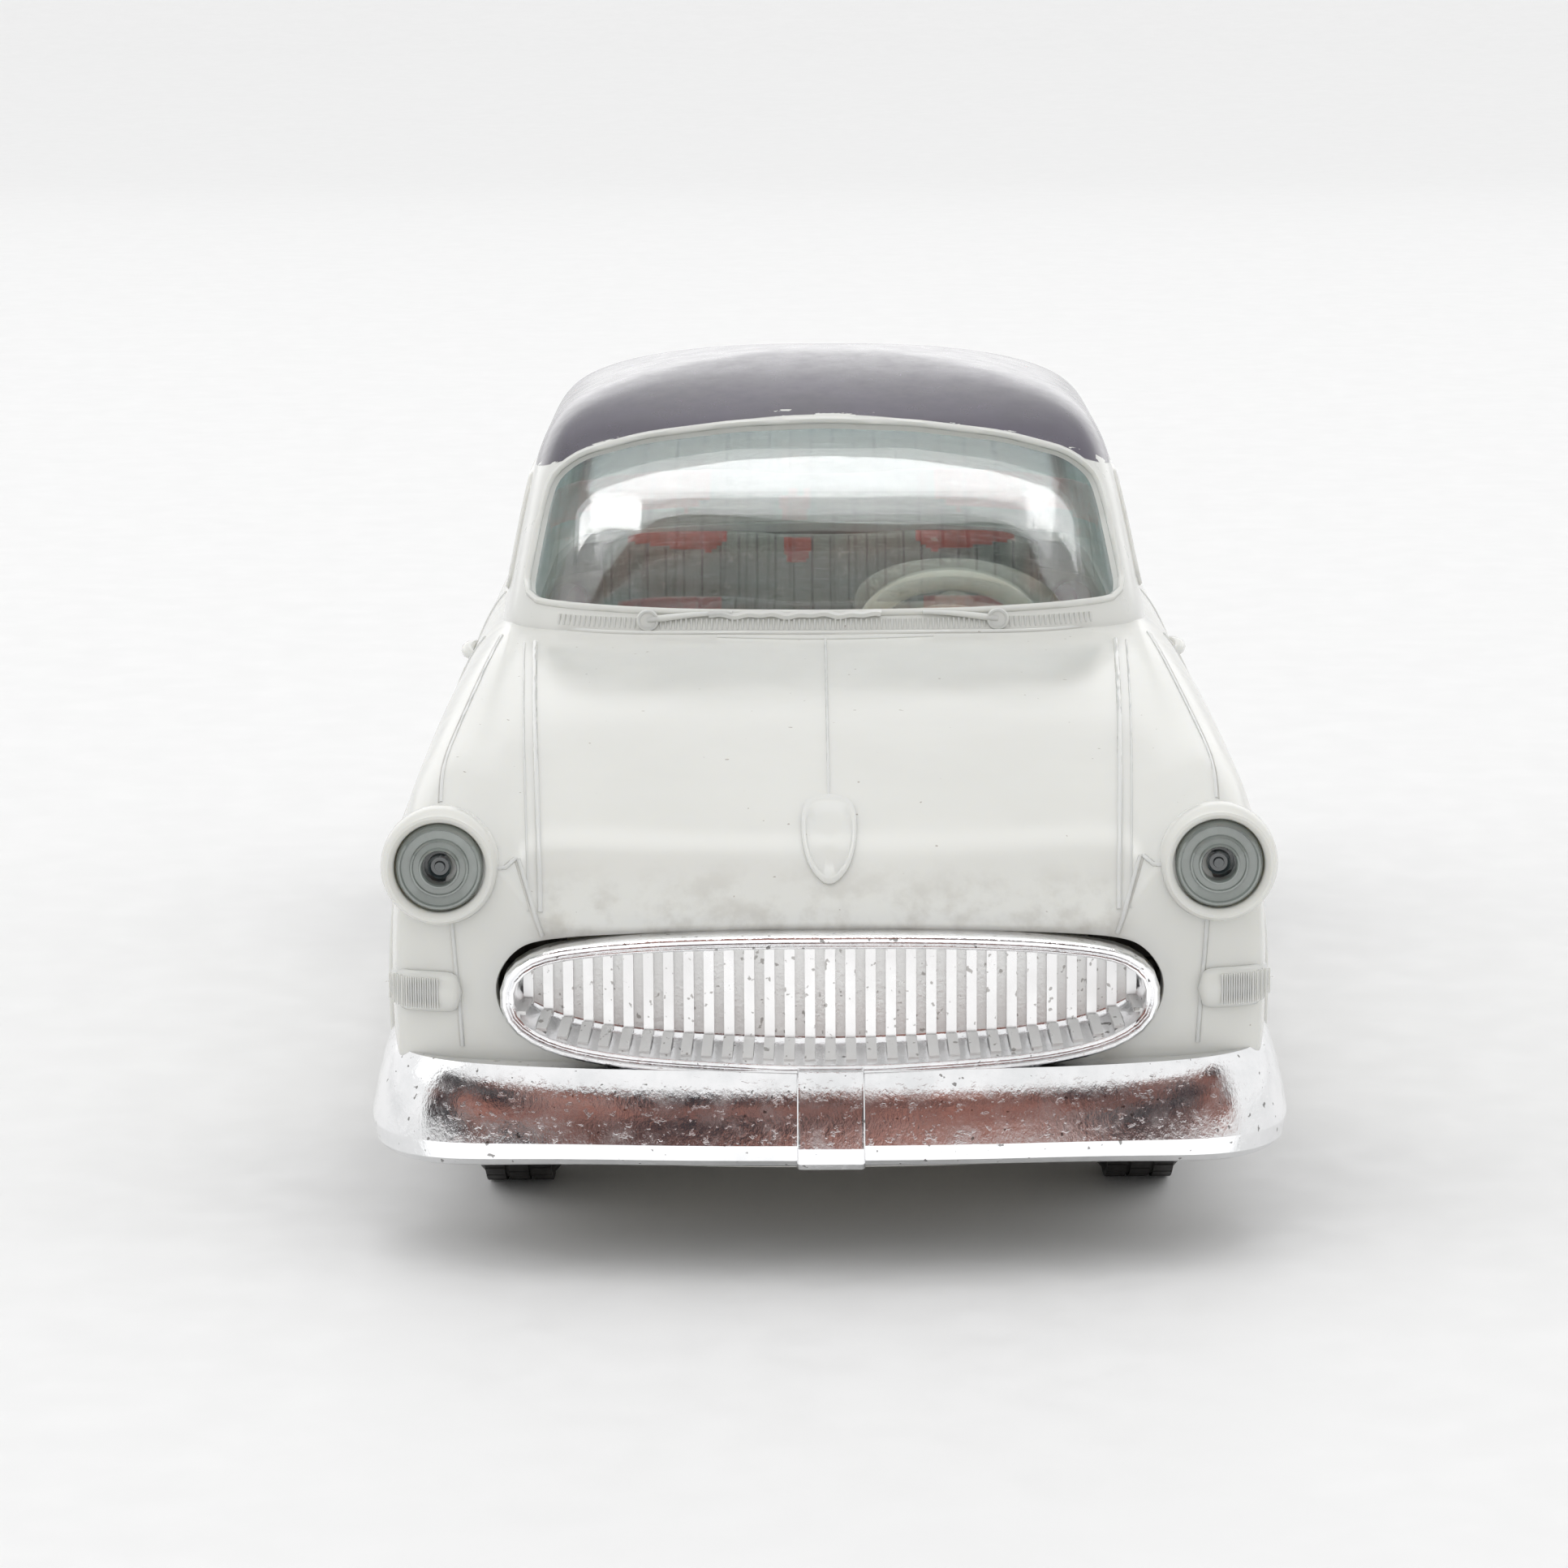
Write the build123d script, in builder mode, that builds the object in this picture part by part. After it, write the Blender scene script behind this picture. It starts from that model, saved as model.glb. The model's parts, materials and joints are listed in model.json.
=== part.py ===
"""Friction-drive toy saloon car: a moulded plastic body with a painted roof on a tinplate base.

The car stands on its tyres at Z = 0 with its front towards -Y and its left side towards +X.
The origin is under the middle of the car. Places along the car are given as a distance behind
the front bumper's face and turned into Y by along(). All sizes are in millimetres.
"""

from build123d import *
import math
import os

os.makedirs("parts", exist_ok=True)

# ---------------------------------------------------------------- driving dimensions
LENGTH = 236.0  # over the bumpers
ROOF_TOP = 78.0
NOSE = 4.6  # middle of the nose, behind the bumper's face
NOSE_SWEEP = 10.3  # how far the nose has swept back at PLAN_HALF from the middle
TAIL = 230.0
TAIL_SWEEP = 8.0
PLAN_HALF = 50.0
SILL = 10.0  # lower edge of the body
WALL = 1.5  # wall of the moulded body
GLASS = 1.0  # wall of the clear moulding
TIN = 0.5  # tinplate
FIT = 0.05  # running clearance on a shaft's radius
GAP = 0.2  # end float beside anything that turns
SEAT_GAP = 0.1  # between two mouldings that do not move against each other

FRONT_AXLE = 43.0
REAR_AXLE = 181.0
AXLE_Z = 15.0
AXLE_R = 1.0

TYRE_R = 15.0
TYRE_WIDTH = 9.0
RIM_R = 9.5
WHEEL_X = 31.5  # middle of the tyre

BASE_Z = SILL + 0.4  # underside of the base plate
BASE_TOP = BASE_Z + TIN

MODULE = 0.6
DRIVE_TEETH = 28
COUNTER_TEETH = 30
PINION_TEETH = 10
GEAR_PLAY = 0.12  # added to each centre distance
STAGE_1 = MODULE * (DRIVE_TEETH + PINION_TEETH) / 2 + GEAR_PLAY
STAGE_2 = MODULE * (COUNTER_TEETH + PINION_TEETH) / 2 + GEAR_PLAY
TRAIN_RISE = 20.0  # slope of the gear train, in degrees, rising forwards
SHAFT_R = 0.8
COUNTER_AT = (
    REAR_AXLE - STAGE_1 * math.cos(math.radians(TRAIN_RISE)),
    AXLE_Z + STAGE_1 * math.sin(math.radians(TRAIN_RISE)),
)
FLYWHEEL_AT = (
    COUNTER_AT[0] - STAGE_2 * math.cos(math.radians(TRAIN_RISE)),
    COUNTER_AT[1] + STAGE_2 * math.sin(math.radians(TRAIN_RISE)),
)
FLYWHEEL_R = 11.5
PLATE_X = 8.0  # inner face of each motor plate
PLATE_T = 0.8

HEADLIGHT = (37.4, 38.2)  # x and z of the headlight's centre
HEADLIGHT_FACE = 8.6
BEZEL_R = 5.4
LENS_R = 4.45
PEG_R = 1.35

TAIL_LIGHT = (34.2, 35.4)
TAIL_LIGHT_R = 2.6
TAIL_LIGHT_FACE = 227.4

STEERING_X = 13.8
STEERING_AT = (95.0, 48.2)  # distance back and height of the wheel's centre
STEERING_R = 11.6
STEERING_TILT = 40.0  # the column rises backwards at this angle

FROM_END = (Align.CENTER, Align.CENTER, Align.MIN)


def along(distance):
    """Y of a place this far behind the front bumper's face."""
    return distance - LENGTH / 2


def across(distance):
    """A plane square to the car's length. Its x is the car's X and its y is up."""
    return Plane.XZ.offset(-along(distance))


def side_plane(x):
    """A plane square to X. Its x runs backwards along the car and its y is up."""
    return Plane((x, 0, 0), x_dir=(0, 1, 0), z_dir=(1, 0, 0))


def block(x0, x1, front, back, z0, z1, mode=Mode.ADD):
    """Add a block between two values of X, two distances back and two heights."""
    with Locations(((x0 + x1) / 2, along((front + back) / 2), (z0 + z1) / 2)):
        Box(x1 - x0, back - front, z1 - z0, mode=mode)


def rod(radius, x0, x1, place, mode=Mode.ADD):
    """Add a round bar along X at a distance back and a height."""
    with Locations((min(x0, x1), along(place[0]), place[1])):
        Cylinder(radius, abs(x1 - x0), rotation=(0, 90, 0), align=FROM_END, mode=mode)


def lamp_rod(radius, length, places, mode=Mode.ADD):
    """Add round bars that run straight back from places given as x, distance and height."""
    with Locations(*[(x, along(distance), z) for x, distance, z in places]):
        Cylinder(radius, length, rotation=(-90, 0, 0), align=FROM_END, mode=mode)


def post(radius, low, high, places, mode=Mode.ADD):
    """Add upright round bars at places given as x and a distance back."""
    with Locations(*[(x, along(distance), low) for x, distance in places]):
        Cylinder(radius, high - low, align=FROM_END, mode=mode)


def both_sides(x):
    return (-x, x)


def save(piece, label):
    piece.label = label
    export_step(piece, f"parts/{label}.step")


# ---------------------------------------------------------------- body surfaces
# Distance back, height on the centre line, fender crown (x, z), shoulder (x, z), side (x, z).
BODY_STATIONS = [
    (4.0, 31.5, (35.0, 39.6), (38.4, 36.0), (39.6, 27.0)),
    (8.0, 37.4, (36.4, 42.2), (39.8, 37.4), (40.8, 27.6)),
    (14.0, 42.0, (37.2, 44.4), (41.0, 39.2), (42.0, 28.2)),
    (24.0, 45.2, (37.6, 46.4), (41.5, 42.0), (43.0, 30.0)),
    (50.0, 49.6, (36.4, 49.2), (41.0, 44.0), (43.6, 31.0)),
    (80.0, 52.4, (35.4, 51.0), (40.4, 45.4), (43.8, 31.5)),
    (120.0, 51.4, (36.2, 49.0), (40.6, 43.8), (43.8, 31.0)),
    (160.0, 50.8, (36.8, 47.0), (40.8, 42.4), (43.8, 31.0)),
    (190.0, 50.4, (37.4, 46.2), (41.0, 41.6), (43.6, 30.5)),
    (212.0, 47.0, (37.4, 45.4), (40.6, 40.6), (43.0, 30.0)),
    (224.0, 41.5, (36.0, 42.0), (39.4, 38.0), (41.6, 29.0)),
    (231.0, 33.0, (33.4, 37.0), (37.0, 34.6), (39.0, 27.0)),
]
# Height, front, rear, half width of the cabin.
CABIN_LEVELS = [
    (46.0, 73.0, 187.0, 37.6),
    (54.0, 76.6, 179.5, 35.6),
    (62.0, 86.0, 170.5, 34.0),
    (69.0, 94.6, 163.5, 32.2),
    (73.4, 101.6, 156.5, 28.4),
    (76.6, 110.6, 148.5, 21.5),
    (ROOF_TOP, 121.0, 139.0, 10.0),
]
# Share of the half width, and how far that place lies in from the end as a share of the length.
CABIN_CORNER = [(0.52, 0.012), (0.86, 0.070), (1.0, 0.21)]


def body_section(station, inset):
    """The body's cross-section, taken in by inset, closed along the bottom."""
    distance, top, crown, shoulder, side = station
    half = [
        (side[0] - 1.2 - inset, SILL if inset == 0 else SILL - 1),
        (side[0] - 0.2 - inset, (side[1] + SILL) / 2),
        (side[0] - inset, side[1]),
        (shoulder[0] - 0.8 * inset, shoulder[1] - 0.6 * inset),
        (crown[0] - 0.3 * inset, crown[1] - inset),
        (0.68 * crown[0], 0.7 * top + 0.3 * crown[1] - inset - 0.4),
    ]
    mirrored = [(-x, z) for x, z in reversed(half)]
    with BuildSketch(across(distance)) as section:
        with BuildLine():
            roofline = Spline(*half, (0, top - inset), *mirrored)
            Line(roofline @ 1, roofline @ 0)
        make_face()
    return section.sketch


def cabin_outline(level, inset):
    """The cabin's plan at one height: a closed curve with bowed screens."""
    height, front, rear, half = level
    front, rear, half = front + inset, rear - inset, half - inset
    span = rear - front
    right = [(half * x, front + span * t) for x, t in CABIN_CORNER]
    right += [(half, (front + rear) / 2)]
    right += [(half * x, rear - span * t) for x, t in reversed(CABIN_CORNER)]
    left = [(-x, distance) for x, distance in reversed(right)]
    points = [(0, front), *right, (0, rear), *left]
    with BuildSketch(Plane.XY.offset(height - inset)) as section:
        with BuildLine():
            Spline(*[(x, along(distance)) for x, distance in points], periodic=True)
        make_face()
    return section.sketch


def plan_limits(inset):
    """The upright prism that gives the nose and the tail their bow."""
    with BuildPart() as limits:
        with BuildSketch():
            with BuildLine():
                nose = ThreePointArc(
                    (-PLAN_HALF, along(NOSE + NOSE_SWEEP + inset)),
                    (0, along(NOSE + inset)),
                    (PLAN_HALF, along(NOSE + NOSE_SWEEP + inset)),
                )
                tail = ThreePointArc(
                    (PLAN_HALF, along(TAIL - TAIL_SWEEP - inset)),
                    (0, along(TAIL - inset)),
                    (-PLAN_HALF, along(TAIL - TAIL_SWEEP - inset)),
                )
                Line(nose @ 1, tail @ 0)
                Line(tail @ 1, nose @ 0)
            make_face()
        extrude(amount=ROOF_TOP)
    return limits.part


def body_solid(inset):
    """Everything inside the lower body's surface taken in by inset."""
    sections = [body_section(station, inset) for station in BODY_STATIONS]
    limits = plan_limits(inset)
    with BuildPart() as solid:
        loft(sections=sections)
        add(limits, mode=Mode.INTERSECT)
    return solid.part


def cabin_solid(inset, levels=CABIN_LEVELS):
    """Everything inside the cabin's surface taken in by inset."""
    sections = [cabin_outline(level, inset) for level in levels]
    with BuildPart() as solid:
        loft(sections=sections)
    return solid.part


# ---------------------------------------------------------------- grille surfaces
GRILLE_MIDDLE = 26.4
GRILLE_FACE = 2.2
GRILLE_BOW = 126.0  # plan radius of the grille
GRILLE_DEPTH = 18.0
# Half of the oval, from the middle of its top to the middle of its bottom: x, height from the middle.
GRILLE_OUTLINE = [(0.0, 6.3), (14.5, 6.0), (27.7, 5.0), (31.5, 0.2), (28.0, -4.7), (14.5, -5.8), (0.0, -6.1)]


def grille_prism(inset):
    """A long oval of arcs, taken in by inset and run back from the nose."""
    points = [(x, GRILLE_MIDDLE + z) for x, z in GRILLE_OUTLINE]
    with BuildPart() as prism:
        with BuildSketch(across(GRILLE_DEPTH)):
            with BuildLine():
                for first in (0, 2, 4):
                    ThreePointArc(*points[first : first + 3])
                    ThreePointArc(*[(-x, z) for x, z in points[first : first + 3]])
            make_face()
            if inset:
                offset(amount=-inset)
        extrude(amount=GRILLE_DEPTH)
    return prism.part


def bowed_wall(front, back):
    """An upright wall bowed like the grille, between two depths behind the grille's face."""
    with BuildPart() as wall:
        with Locations((0, along(GRILLE_FACE + GRILLE_BOW), 0)):
            Cylinder(GRILLE_BOW - front, ROOF_TOP, align=FROM_END)
            Cylinder(GRILLE_BOW - back, ROOF_TOP, align=FROM_END, mode=Mode.SUBTRACT)
        block(-PLAN_HALF, PLAN_HALF, 0, GRILLE_DEPTH, 0, ROOF_TOP, mode=Mode.INTERSECT)
    return wall.part


# ---------------------------------------------------------------- moulded body
SIDE_WINDOWS = [
    # lower edge from front to back, then upper edge from back to front
    [(93.0, 52.5), (127.0, 51.6), (127.0, 66.6), (102.5, 66.6)],
    [(130.5, 51.5), (167.5, 51.2), (157.5, 66.6), (130.5, 66.6)],
]
# Plane behind the screen, low and high edge, half width at each, depth of the cut.
WINDSCREEN = (105.0, 55.0, 70.6, 32.6, 28.6, 40.0)
REAR_WINDOW = (195.0, 54.0, 69.6, 31.0, 27.4, 40.0)
ARCH_R = 17.6
ARCH_INNER = 26.0
ARCH_RISE = 1.0  # arch centre above the axle
SCREW_X = 15.0
SCREW_ROWS = [(62.0, 49.6), (206.0, 46.6)]  # distance back, top of the post
POST_R = 2.6
SCREW_R = 0.9
SCREW_REACH = 8.0
CUP_DEPTH = 5.0
LENS_SEAT = 3.4
LUG_X = (17.0, 23.0)  # each bumper's two lugs, inner and outer side
LUG_Z = (BASE_TOP + 0.1, BASE_TOP + 1.5)
LUG_REACH = 24.0  # end of a lug, measured back from its bumper's face


def screen_cutter(distance, low, high, half_low, half_high, depth):
    """A block that opens the windscreen or the rear window, square to the car's length."""
    corners = [(-half_low, low), (half_low, low), (half_high, high), (-half_high, high)]
    with BuildPart() as cutter:
        with BuildSketch(across(distance)) as outline:
            with BuildLine():
                Polyline(*corners, close=True)
            make_face()
            fillet(outline.vertices(), radius=3.0)
        extrude(amount=depth)
    return cutter.part


def side_window_cutter():
    """Blocks right through the cabin for the door and quarter windows."""
    with BuildPart() as cutter:
        for corners in SIDE_WINDOWS:
            with BuildSketch(side_plane(0)) as pane:
                with BuildLine():
                    Polyline(*[(along(distance), z) for distance, z in corners], close=True)
                make_face()
                fillet(pane.vertices(), radius=2.2)
            extrude(amount=PLAN_HALF, both=True)
    return cutter.part


def lug_block(end, clearance, mode):
    """Add or cut the two bumper lugs: end is -1 at the nose and 1 at the tail."""
    for side in (-1, 1):
        low, high = sorted((side * (LUG_X[0] - clearance), side * (LUG_X[1] + clearance)))
        places = (1.0, LUG_REACH) if end < 0 else (LENGTH - LUG_REACH, LENGTH - 1.0)
        block(low, high, *places, LUG_Z[0] - clearance, LUG_Z[1] + clearance, mode=mode)


def make_body_shell():
    """The moulding: lower body, cabin and headlight cups, hollow and open underneath."""
    outer, inner = body_solid(0), body_solid(WALL)
    cabin_outer, cabin_inner = cabin_solid(0), cabin_solid(WALL)
    cutters = [screen_cutter(*WINDSCREEN), screen_cutter(*REAR_WINDOW), side_window_cutter()]
    cutters.append(grille_prism(-SEAT_GAP))
    lamps = [(x, HEADLIGHT_FACE, HEADLIGHT[1]) for x in both_sides(HEADLIGHT[0])]
    rear_lamps = [(x, TAIL_LIGHT_FACE - 12.0, TAIL_LIGHT[1]) for x in both_sides(TAIL_LIGHT[0])]
    with BuildPart() as body_shell:
        add(outer)
        add(cabin_outer)
        add(inner, mode=Mode.SUBTRACT)
        add(cabin_inner, mode=Mode.SUBTRACT)
        lamp_rod(BEZEL_R, CUP_DEPTH, lamps)
        lamp_rod(LENS_R + FIT, LENS_SEAT, lamps, mode=Mode.SUBTRACT)
        lamp_rod(PEG_R + FIT, CUP_DEPTH, lamps, mode=Mode.SUBTRACT)
        for cutter in cutters:
            add(cutter, mode=Mode.SUBTRACT)
        for axle in (FRONT_AXLE, REAR_AXLE):
            for side in (-1, 1):
                arch = (axle, AXLE_Z + ARCH_RISE)
                rod(ARCH_R, side * ARCH_INNER, side * PLAN_HALF, arch, mode=Mode.SUBTRACT)
        for distance, top in SCREW_ROWS:
            places = [(x, distance) for x in both_sides(SCREW_X)]
            post(POST_R, BASE_TOP, top, places)
            post(SCREW_R + FIT, BASE_TOP, BASE_TOP + SCREW_REACH + 1.0, places, mode=Mode.SUBTRACT)
        lamp_rod(TAIL_LIGHT_R + FIT, 20.0, rear_lamps, mode=Mode.SUBTRACT)
        lug_block(-1, SEAT_GAP, Mode.SUBTRACT)
        lug_block(1, SEAT_GAP, Mode.SUBTRACT)
    return body_shell.part


# ---------------------------------------------------------------- lamps
# Radius and distance behind the bezel's face, round half of the lens.
LENS_PROFILE = [
    (0, 1.0),
    (1.6, 1.0),
    (1.6, 0.5),
    (2.5, 0.5),
    (3.6, 0.9),
    (LENS_R, 1.8),
    (LENS_R, LENS_SEAT - 0.2),
    (PEG_R, LENS_SEAT - 0.2),
    (PEG_R, CUP_DEPTH + 0.6),
    (0, CUP_DEPTH + 0.6),
]
TAIL_LIGHT_DEPTH = 7.0


def make_headlight_lens(side):
    """A stepped clear lens with a locating peg behind it."""
    with BuildPart() as headlight_lens:
        with BuildSketch():
            with BuildLine():
                Polyline(*LENS_PROFILE, close=True)
            make_face()
        revolve(axis=Axis.Y)
    place = Pos(side * HEADLIGHT[0], along(HEADLIGHT_FACE), HEADLIGHT[1])
    return place * headlight_lens.part


def make_tail_light(side):
    """A red button with a domed face."""
    with BuildPart() as tail_light:
        with BuildSketch():
            with BuildLine():
                dome = TangentArc((0, 0), (TAIL_LIGHT_R, -1.4), tangent=(1, 0))
                Polyline(dome @ 1, (TAIL_LIGHT_R, -TAIL_LIGHT_DEPTH), (0, -TAIL_LIGHT_DEPTH), (0, 0))
            make_face()
        revolve(axis=Axis.Y)
    place = Pos(side * TAIL_LIGHT[0], along(TAIL_LIGHT_FACE), TAIL_LIGHT[1])
    return place * tail_light.part


# ---------------------------------------------------------------- glazing
GLAZING_SKIRT = (50.0, 74.8, 183.0, 36.6)
GLAZING_SKIRT_INNER = (48.0, 74.0, 184.0, 37.0)


def make_glazing():
    """One clear moulding, close behind every window opening and under the roof."""
    clear = WALL + SEAT_GAP
    outside = cabin_solid(clear, [GLAZING_SKIRT, *CABIN_LEVELS[1:-1]])
    inside = cabin_solid(clear + GLASS, [GLAZING_SKIRT_INNER, *CABIN_LEVELS[1:-1]])
    with BuildPart() as window_glazing:
        add(outside)
        add(inside, mode=Mode.SUBTRACT)
    return window_glazing.part


# ---------------------------------------------------------------- bumpers and grille
# Middle of the bumper band's plan on the left side: X and distance behind its face.
BUMPER_PLAN = [(20.0, 1.7), (33.5, 3.9), (40.2, 7.8), (43.3, 13.6), (43.5, 22.0)]
BUMPER_T = 1.8
BUMPER_LOW, BUMPER_HIGH = 11.2, 20.8
SLAT_PITCH = 1.9
SLAT_WIDTH = 0.95
SLATS_EACH_SIDE = 15
GRILLE_RIM = 1.5
DISH_BACK = 4.6


def bumper_bar():
    """A band, rounded on its outside, that follows the front bumper's plan from end to end."""
    middle = (BUMPER_LOW + BUMPER_HIGH) / 2
    left = [(x, along(distance), middle) for x, distance in BUMPER_PLAN]
    right = [(-x, y, z) for x, y, z in reversed(left)]
    with BuildPart() as bar:
        with BuildLine() as path:
            Spline(*right, (0, along(BUMPER_T / 2), middle), *left)
        start = Plane(path.line @ 0, x_dir=(1, 0, 0), z_dir=path.line % 0)
        with BuildSketch(start) as band:
            Rectangle(BUMPER_T, BUMPER_HIGH - BUMPER_LOW)
            fillet(band.vertices().sort_by(Axis.X)[:2], radius=1.2)
        sweep(path=path.line)
    return bar.part


def make_front_bumper():
    """Bumper band with its middle block, grille rim and slatted dish in one plated moulding."""
    bar = bumper_bar()
    rim_outside, rim_inside = grille_prism(0), grille_prism(GRILLE_RIM)
    dish_edge = grille_prism(GRILLE_RIM - 0.1)
    rim_wall = bowed_wall(0, DISH_BACK)
    dish_wall = bowed_wall(DISH_BACK - 1.0, DISH_BACK)
    slat_wall = bowed_wall(DISH_BACK - 1.5, DISH_BACK - 0.9)
    shelf_wall = bowed_wall(-1.2, 1.8)
    with BuildPart() as rim:
        add(rim_outside)
        add(rim_inside, mode=Mode.SUBTRACT)
        add(rim_wall, mode=Mode.INTERSECT)
    with BuildPart() as dish:
        add(dish_edge)
        add(dish_wall, mode=Mode.INTERSECT)
    with BuildPart() as slats:
        with Locations(
            *[
                (index * SLAT_PITCH, along(10.0), GRILLE_MIDDLE)
                for index in range(-SLATS_EACH_SIDE, SLATS_EACH_SIDE + 1)
            ]
        ):
            Box(SLAT_WIDTH, 16.0, 16.0)
        add(dish_edge, mode=Mode.INTERSECT)
        add(slat_wall, mode=Mode.INTERSECT)
    with BuildPart() as shelf:
        block(-14.0, 14.0, 0, 10.0, BUMPER_HIGH - 1.4, BUMPER_HIGH + 0.1)
        add(shelf_wall, mode=Mode.INTERSECT)
    with BuildPart() as front_bumper_grille:
        add(bar)
        block(-3.3, 3.3, 0, 2.0, BUMPER_LOW, BUMPER_HIGH - 0.6)
        add(shelf.part)
        add(rim.part)
        add(dish.part)
        add(slats.part)
        lug_block(-1, 0, Mode.ADD)
    return front_bumper_grille.part


def make_rear_bumper():
    """The plain plated band round the tail, with the same two lugs."""
    bar = bumper_bar().rotate(Axis.Z, 180)
    with BuildPart() as rear_bumper:
        add(bar)
        lug_block(1, 0, Mode.ADD)
    return rear_bumper.part


# ---------------------------------------------------------------- cabin fittings
DASH_HALF = 27.0
DASH_PROFILE = [(82.2, 48.2), (85.8, 49.6), (87.4, 48.0), (86.6, 37.0), (81.6, 36.0)]
COLUMN_R = 1.5
COLUMN_END = -15.2  # along the column from the steering wheel's middle
COLLAR_AT = -8.2
SPIGOT_R = 1.2
SPIGOT_LENGTH = 1.1
RIM_TUBE = 0.8

FLOOR_HALF = 33.0
FLOOR_POINTS = [(82.0, 33.0), (90.0, 21.0), (137.0, 21.0), (137.0, 35.9), (181.0, 35.9), (181.0, 40.0)]
FRONT_SEAT_HALF = 30.0
FRONT_SEAT_POINTS = [(117.0, 21.25), (117.0, 33.5), (119.0, 35.0), (133.4, 34.4), (138.4, 45.8)]
SEAT_DIP = (9.0, 3.0)  # width and depth of the dip between the two sitters
REAR_SEAT_HALF = 27.0
REAR_SEAT_POINTS = [(156.0, 36.15), (156.0, 40.6), (158.0, 41.6), (169.4, 41.0), (172.8, 49.4)]


def steering_plane(offset=0.0):
    """A plane square to the steering column, moved along it towards the driver."""
    tilt = math.radians(STEERING_TILT)
    normal = Vector(0, math.cos(tilt), math.sin(tilt))
    centre = Vector(STEERING_X, along(STEERING_AT[0]), STEERING_AT[1])
    return Plane(centre + normal * offset, x_dir=(1, 0, 0), z_dir=normal)


def make_dashboard():
    """A moulded bar under the windscreen with a blind bush for the steering column."""
    with BuildPart() as dashboard:
        with BuildSketch(side_plane(-DASH_HALF)):
            with BuildLine():
                Polyline(*[(along(distance), z) for distance, z in DASH_PROFILE], close=True)
            make_face()
        extrude(amount=2 * DASH_HALF)
        with BuildSketch(steering_plane(COLUMN_END - GAP)):
            Circle(COLUMN_R + FIT)
        extrude(amount=12.0, mode=Mode.SUBTRACT)
    return dashboard.part


def make_steering_wheel():
    """A thin rim, two spokes and a hub, moulded together."""
    with BuildPart() as steering_wheel:
        with BuildSketch(Plane.XZ):
            with Locations((STEERING_R - RIM_TUBE, 0)):
                Circle(RIM_TUBE)
        revolve(axis=Axis.Z)
        Cylinder(2.0, 2 * SPIGOT_LENGTH)
        with Locations(*[(x, 0, 0) for x in both_sides(6.2)]):
            Box(9.2, 1.5, 1.0)
        with Locations((0, 0, -SPIGOT_LENGTH)):
            Cylinder(SPIGOT_R, SPIGOT_LENGTH, align=FROM_END, mode=Mode.SUBTRACT)
    return steering_plane().location * steering_wheel.part


def make_steering_column():
    """A round pin with a collar that stops it against the dashboard and a spigot for the wheel."""
    with BuildPart() as steering_column:
        with BuildSketch(steering_plane(COLUMN_END)):
            Circle(COLUMN_R)
        extrude(amount=-COLUMN_END - SPIGOT_LENGTH)
        with BuildSketch(steering_plane(COLLAR_AT)):
            Circle(COLUMN_R + 0.6)
        extrude(amount=1.0)
        with BuildSketch(steering_plane(-SPIGOT_LENGTH)):
            Circle(SPIGOT_R)
        extrude(amount=SPIGOT_LENGTH)
    return steering_column.part


def bent_sheet(points, half_width):
    """Tinplate bent along the points of a side view."""
    with BuildPart() as sheet:
        with BuildSketch(side_plane(-half_width)):
            with BuildLine() as bends:
                Polyline(*[(along(distance), z) for distance, z in points])
            trace(lines=bends.line, line_width=TIN)
        extrude(amount=2 * half_width)
    return sheet.part


def make_front_seat():
    """A tin bench whose back dips between the two sitters."""
    sheet = bent_sheet(FRONT_SEAT_POINTS, FRONT_SEAT_HALF)
    top = FRONT_SEAT_POINTS[-1][1]
    with BuildPart() as front_seat:
        add(sheet)
        half = SEAT_DIP[0] / 2
        block(-half, half, 130.0, 145.0, top - SEAT_DIP[1], top + 1.0, mode=Mode.SUBTRACT)
    return front_seat.part


# ---------------------------------------------------------------- base and motor frame
BASE_FRONT, BASE_BACK, BASE_HALF = 20.0, 220.0, 39.6
WELL_X = 25.6  # inner side of the wheel wells
WELL_HALF = 17.4
MOTOR_SLOT = (159.0, 191.6)  # opening in the base under the gears, front and back
PAD_FRONT, PAD_BACK, PAD_HALF, PAD_DROP = 86.0, 128.0, 16.0, 1.0
SCREW_HEAD_R = 1.9
SCREW_HEAD = 1.2
RIVET_R = 0.8
RIVET_HEAD_R = 1.4
RIVET_HEAD = 0.6

PLATE_PROFILE = [
    (139.0, BASE_TOP),
    (190.0, BASE_TOP),
    (190.0, 21.0),
    (180.0, 34.2),
    (150.0, 34.6),
    (139.0, 24.0),
]
PILLARS = [(144.0, 24.0), (150.0, 14.0), (176.6, 31.6)]
PILLAR_R = 1.3
PILLAR_END_R = 0.9
FOOT_ROWS = [142.0, 186.6]
FOOT_LENGTH = 4.6
FOOT_HALF = 2.6
EAR_X = 20.0
EAR_T = 0.6
BRACKET_RIVETS = [(x, 48.2) for x in both_sides(10.0)]
FOOT_RIVETS = [(x, d) for x in both_sides(PLATE_X + PLATE_T + FOOT_LENGTH / 2) for d in FOOT_ROWS]


def screw_places():
    return [(x, distance) for x in both_sides(SCREW_X) for distance, _ in SCREW_ROWS]


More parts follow.
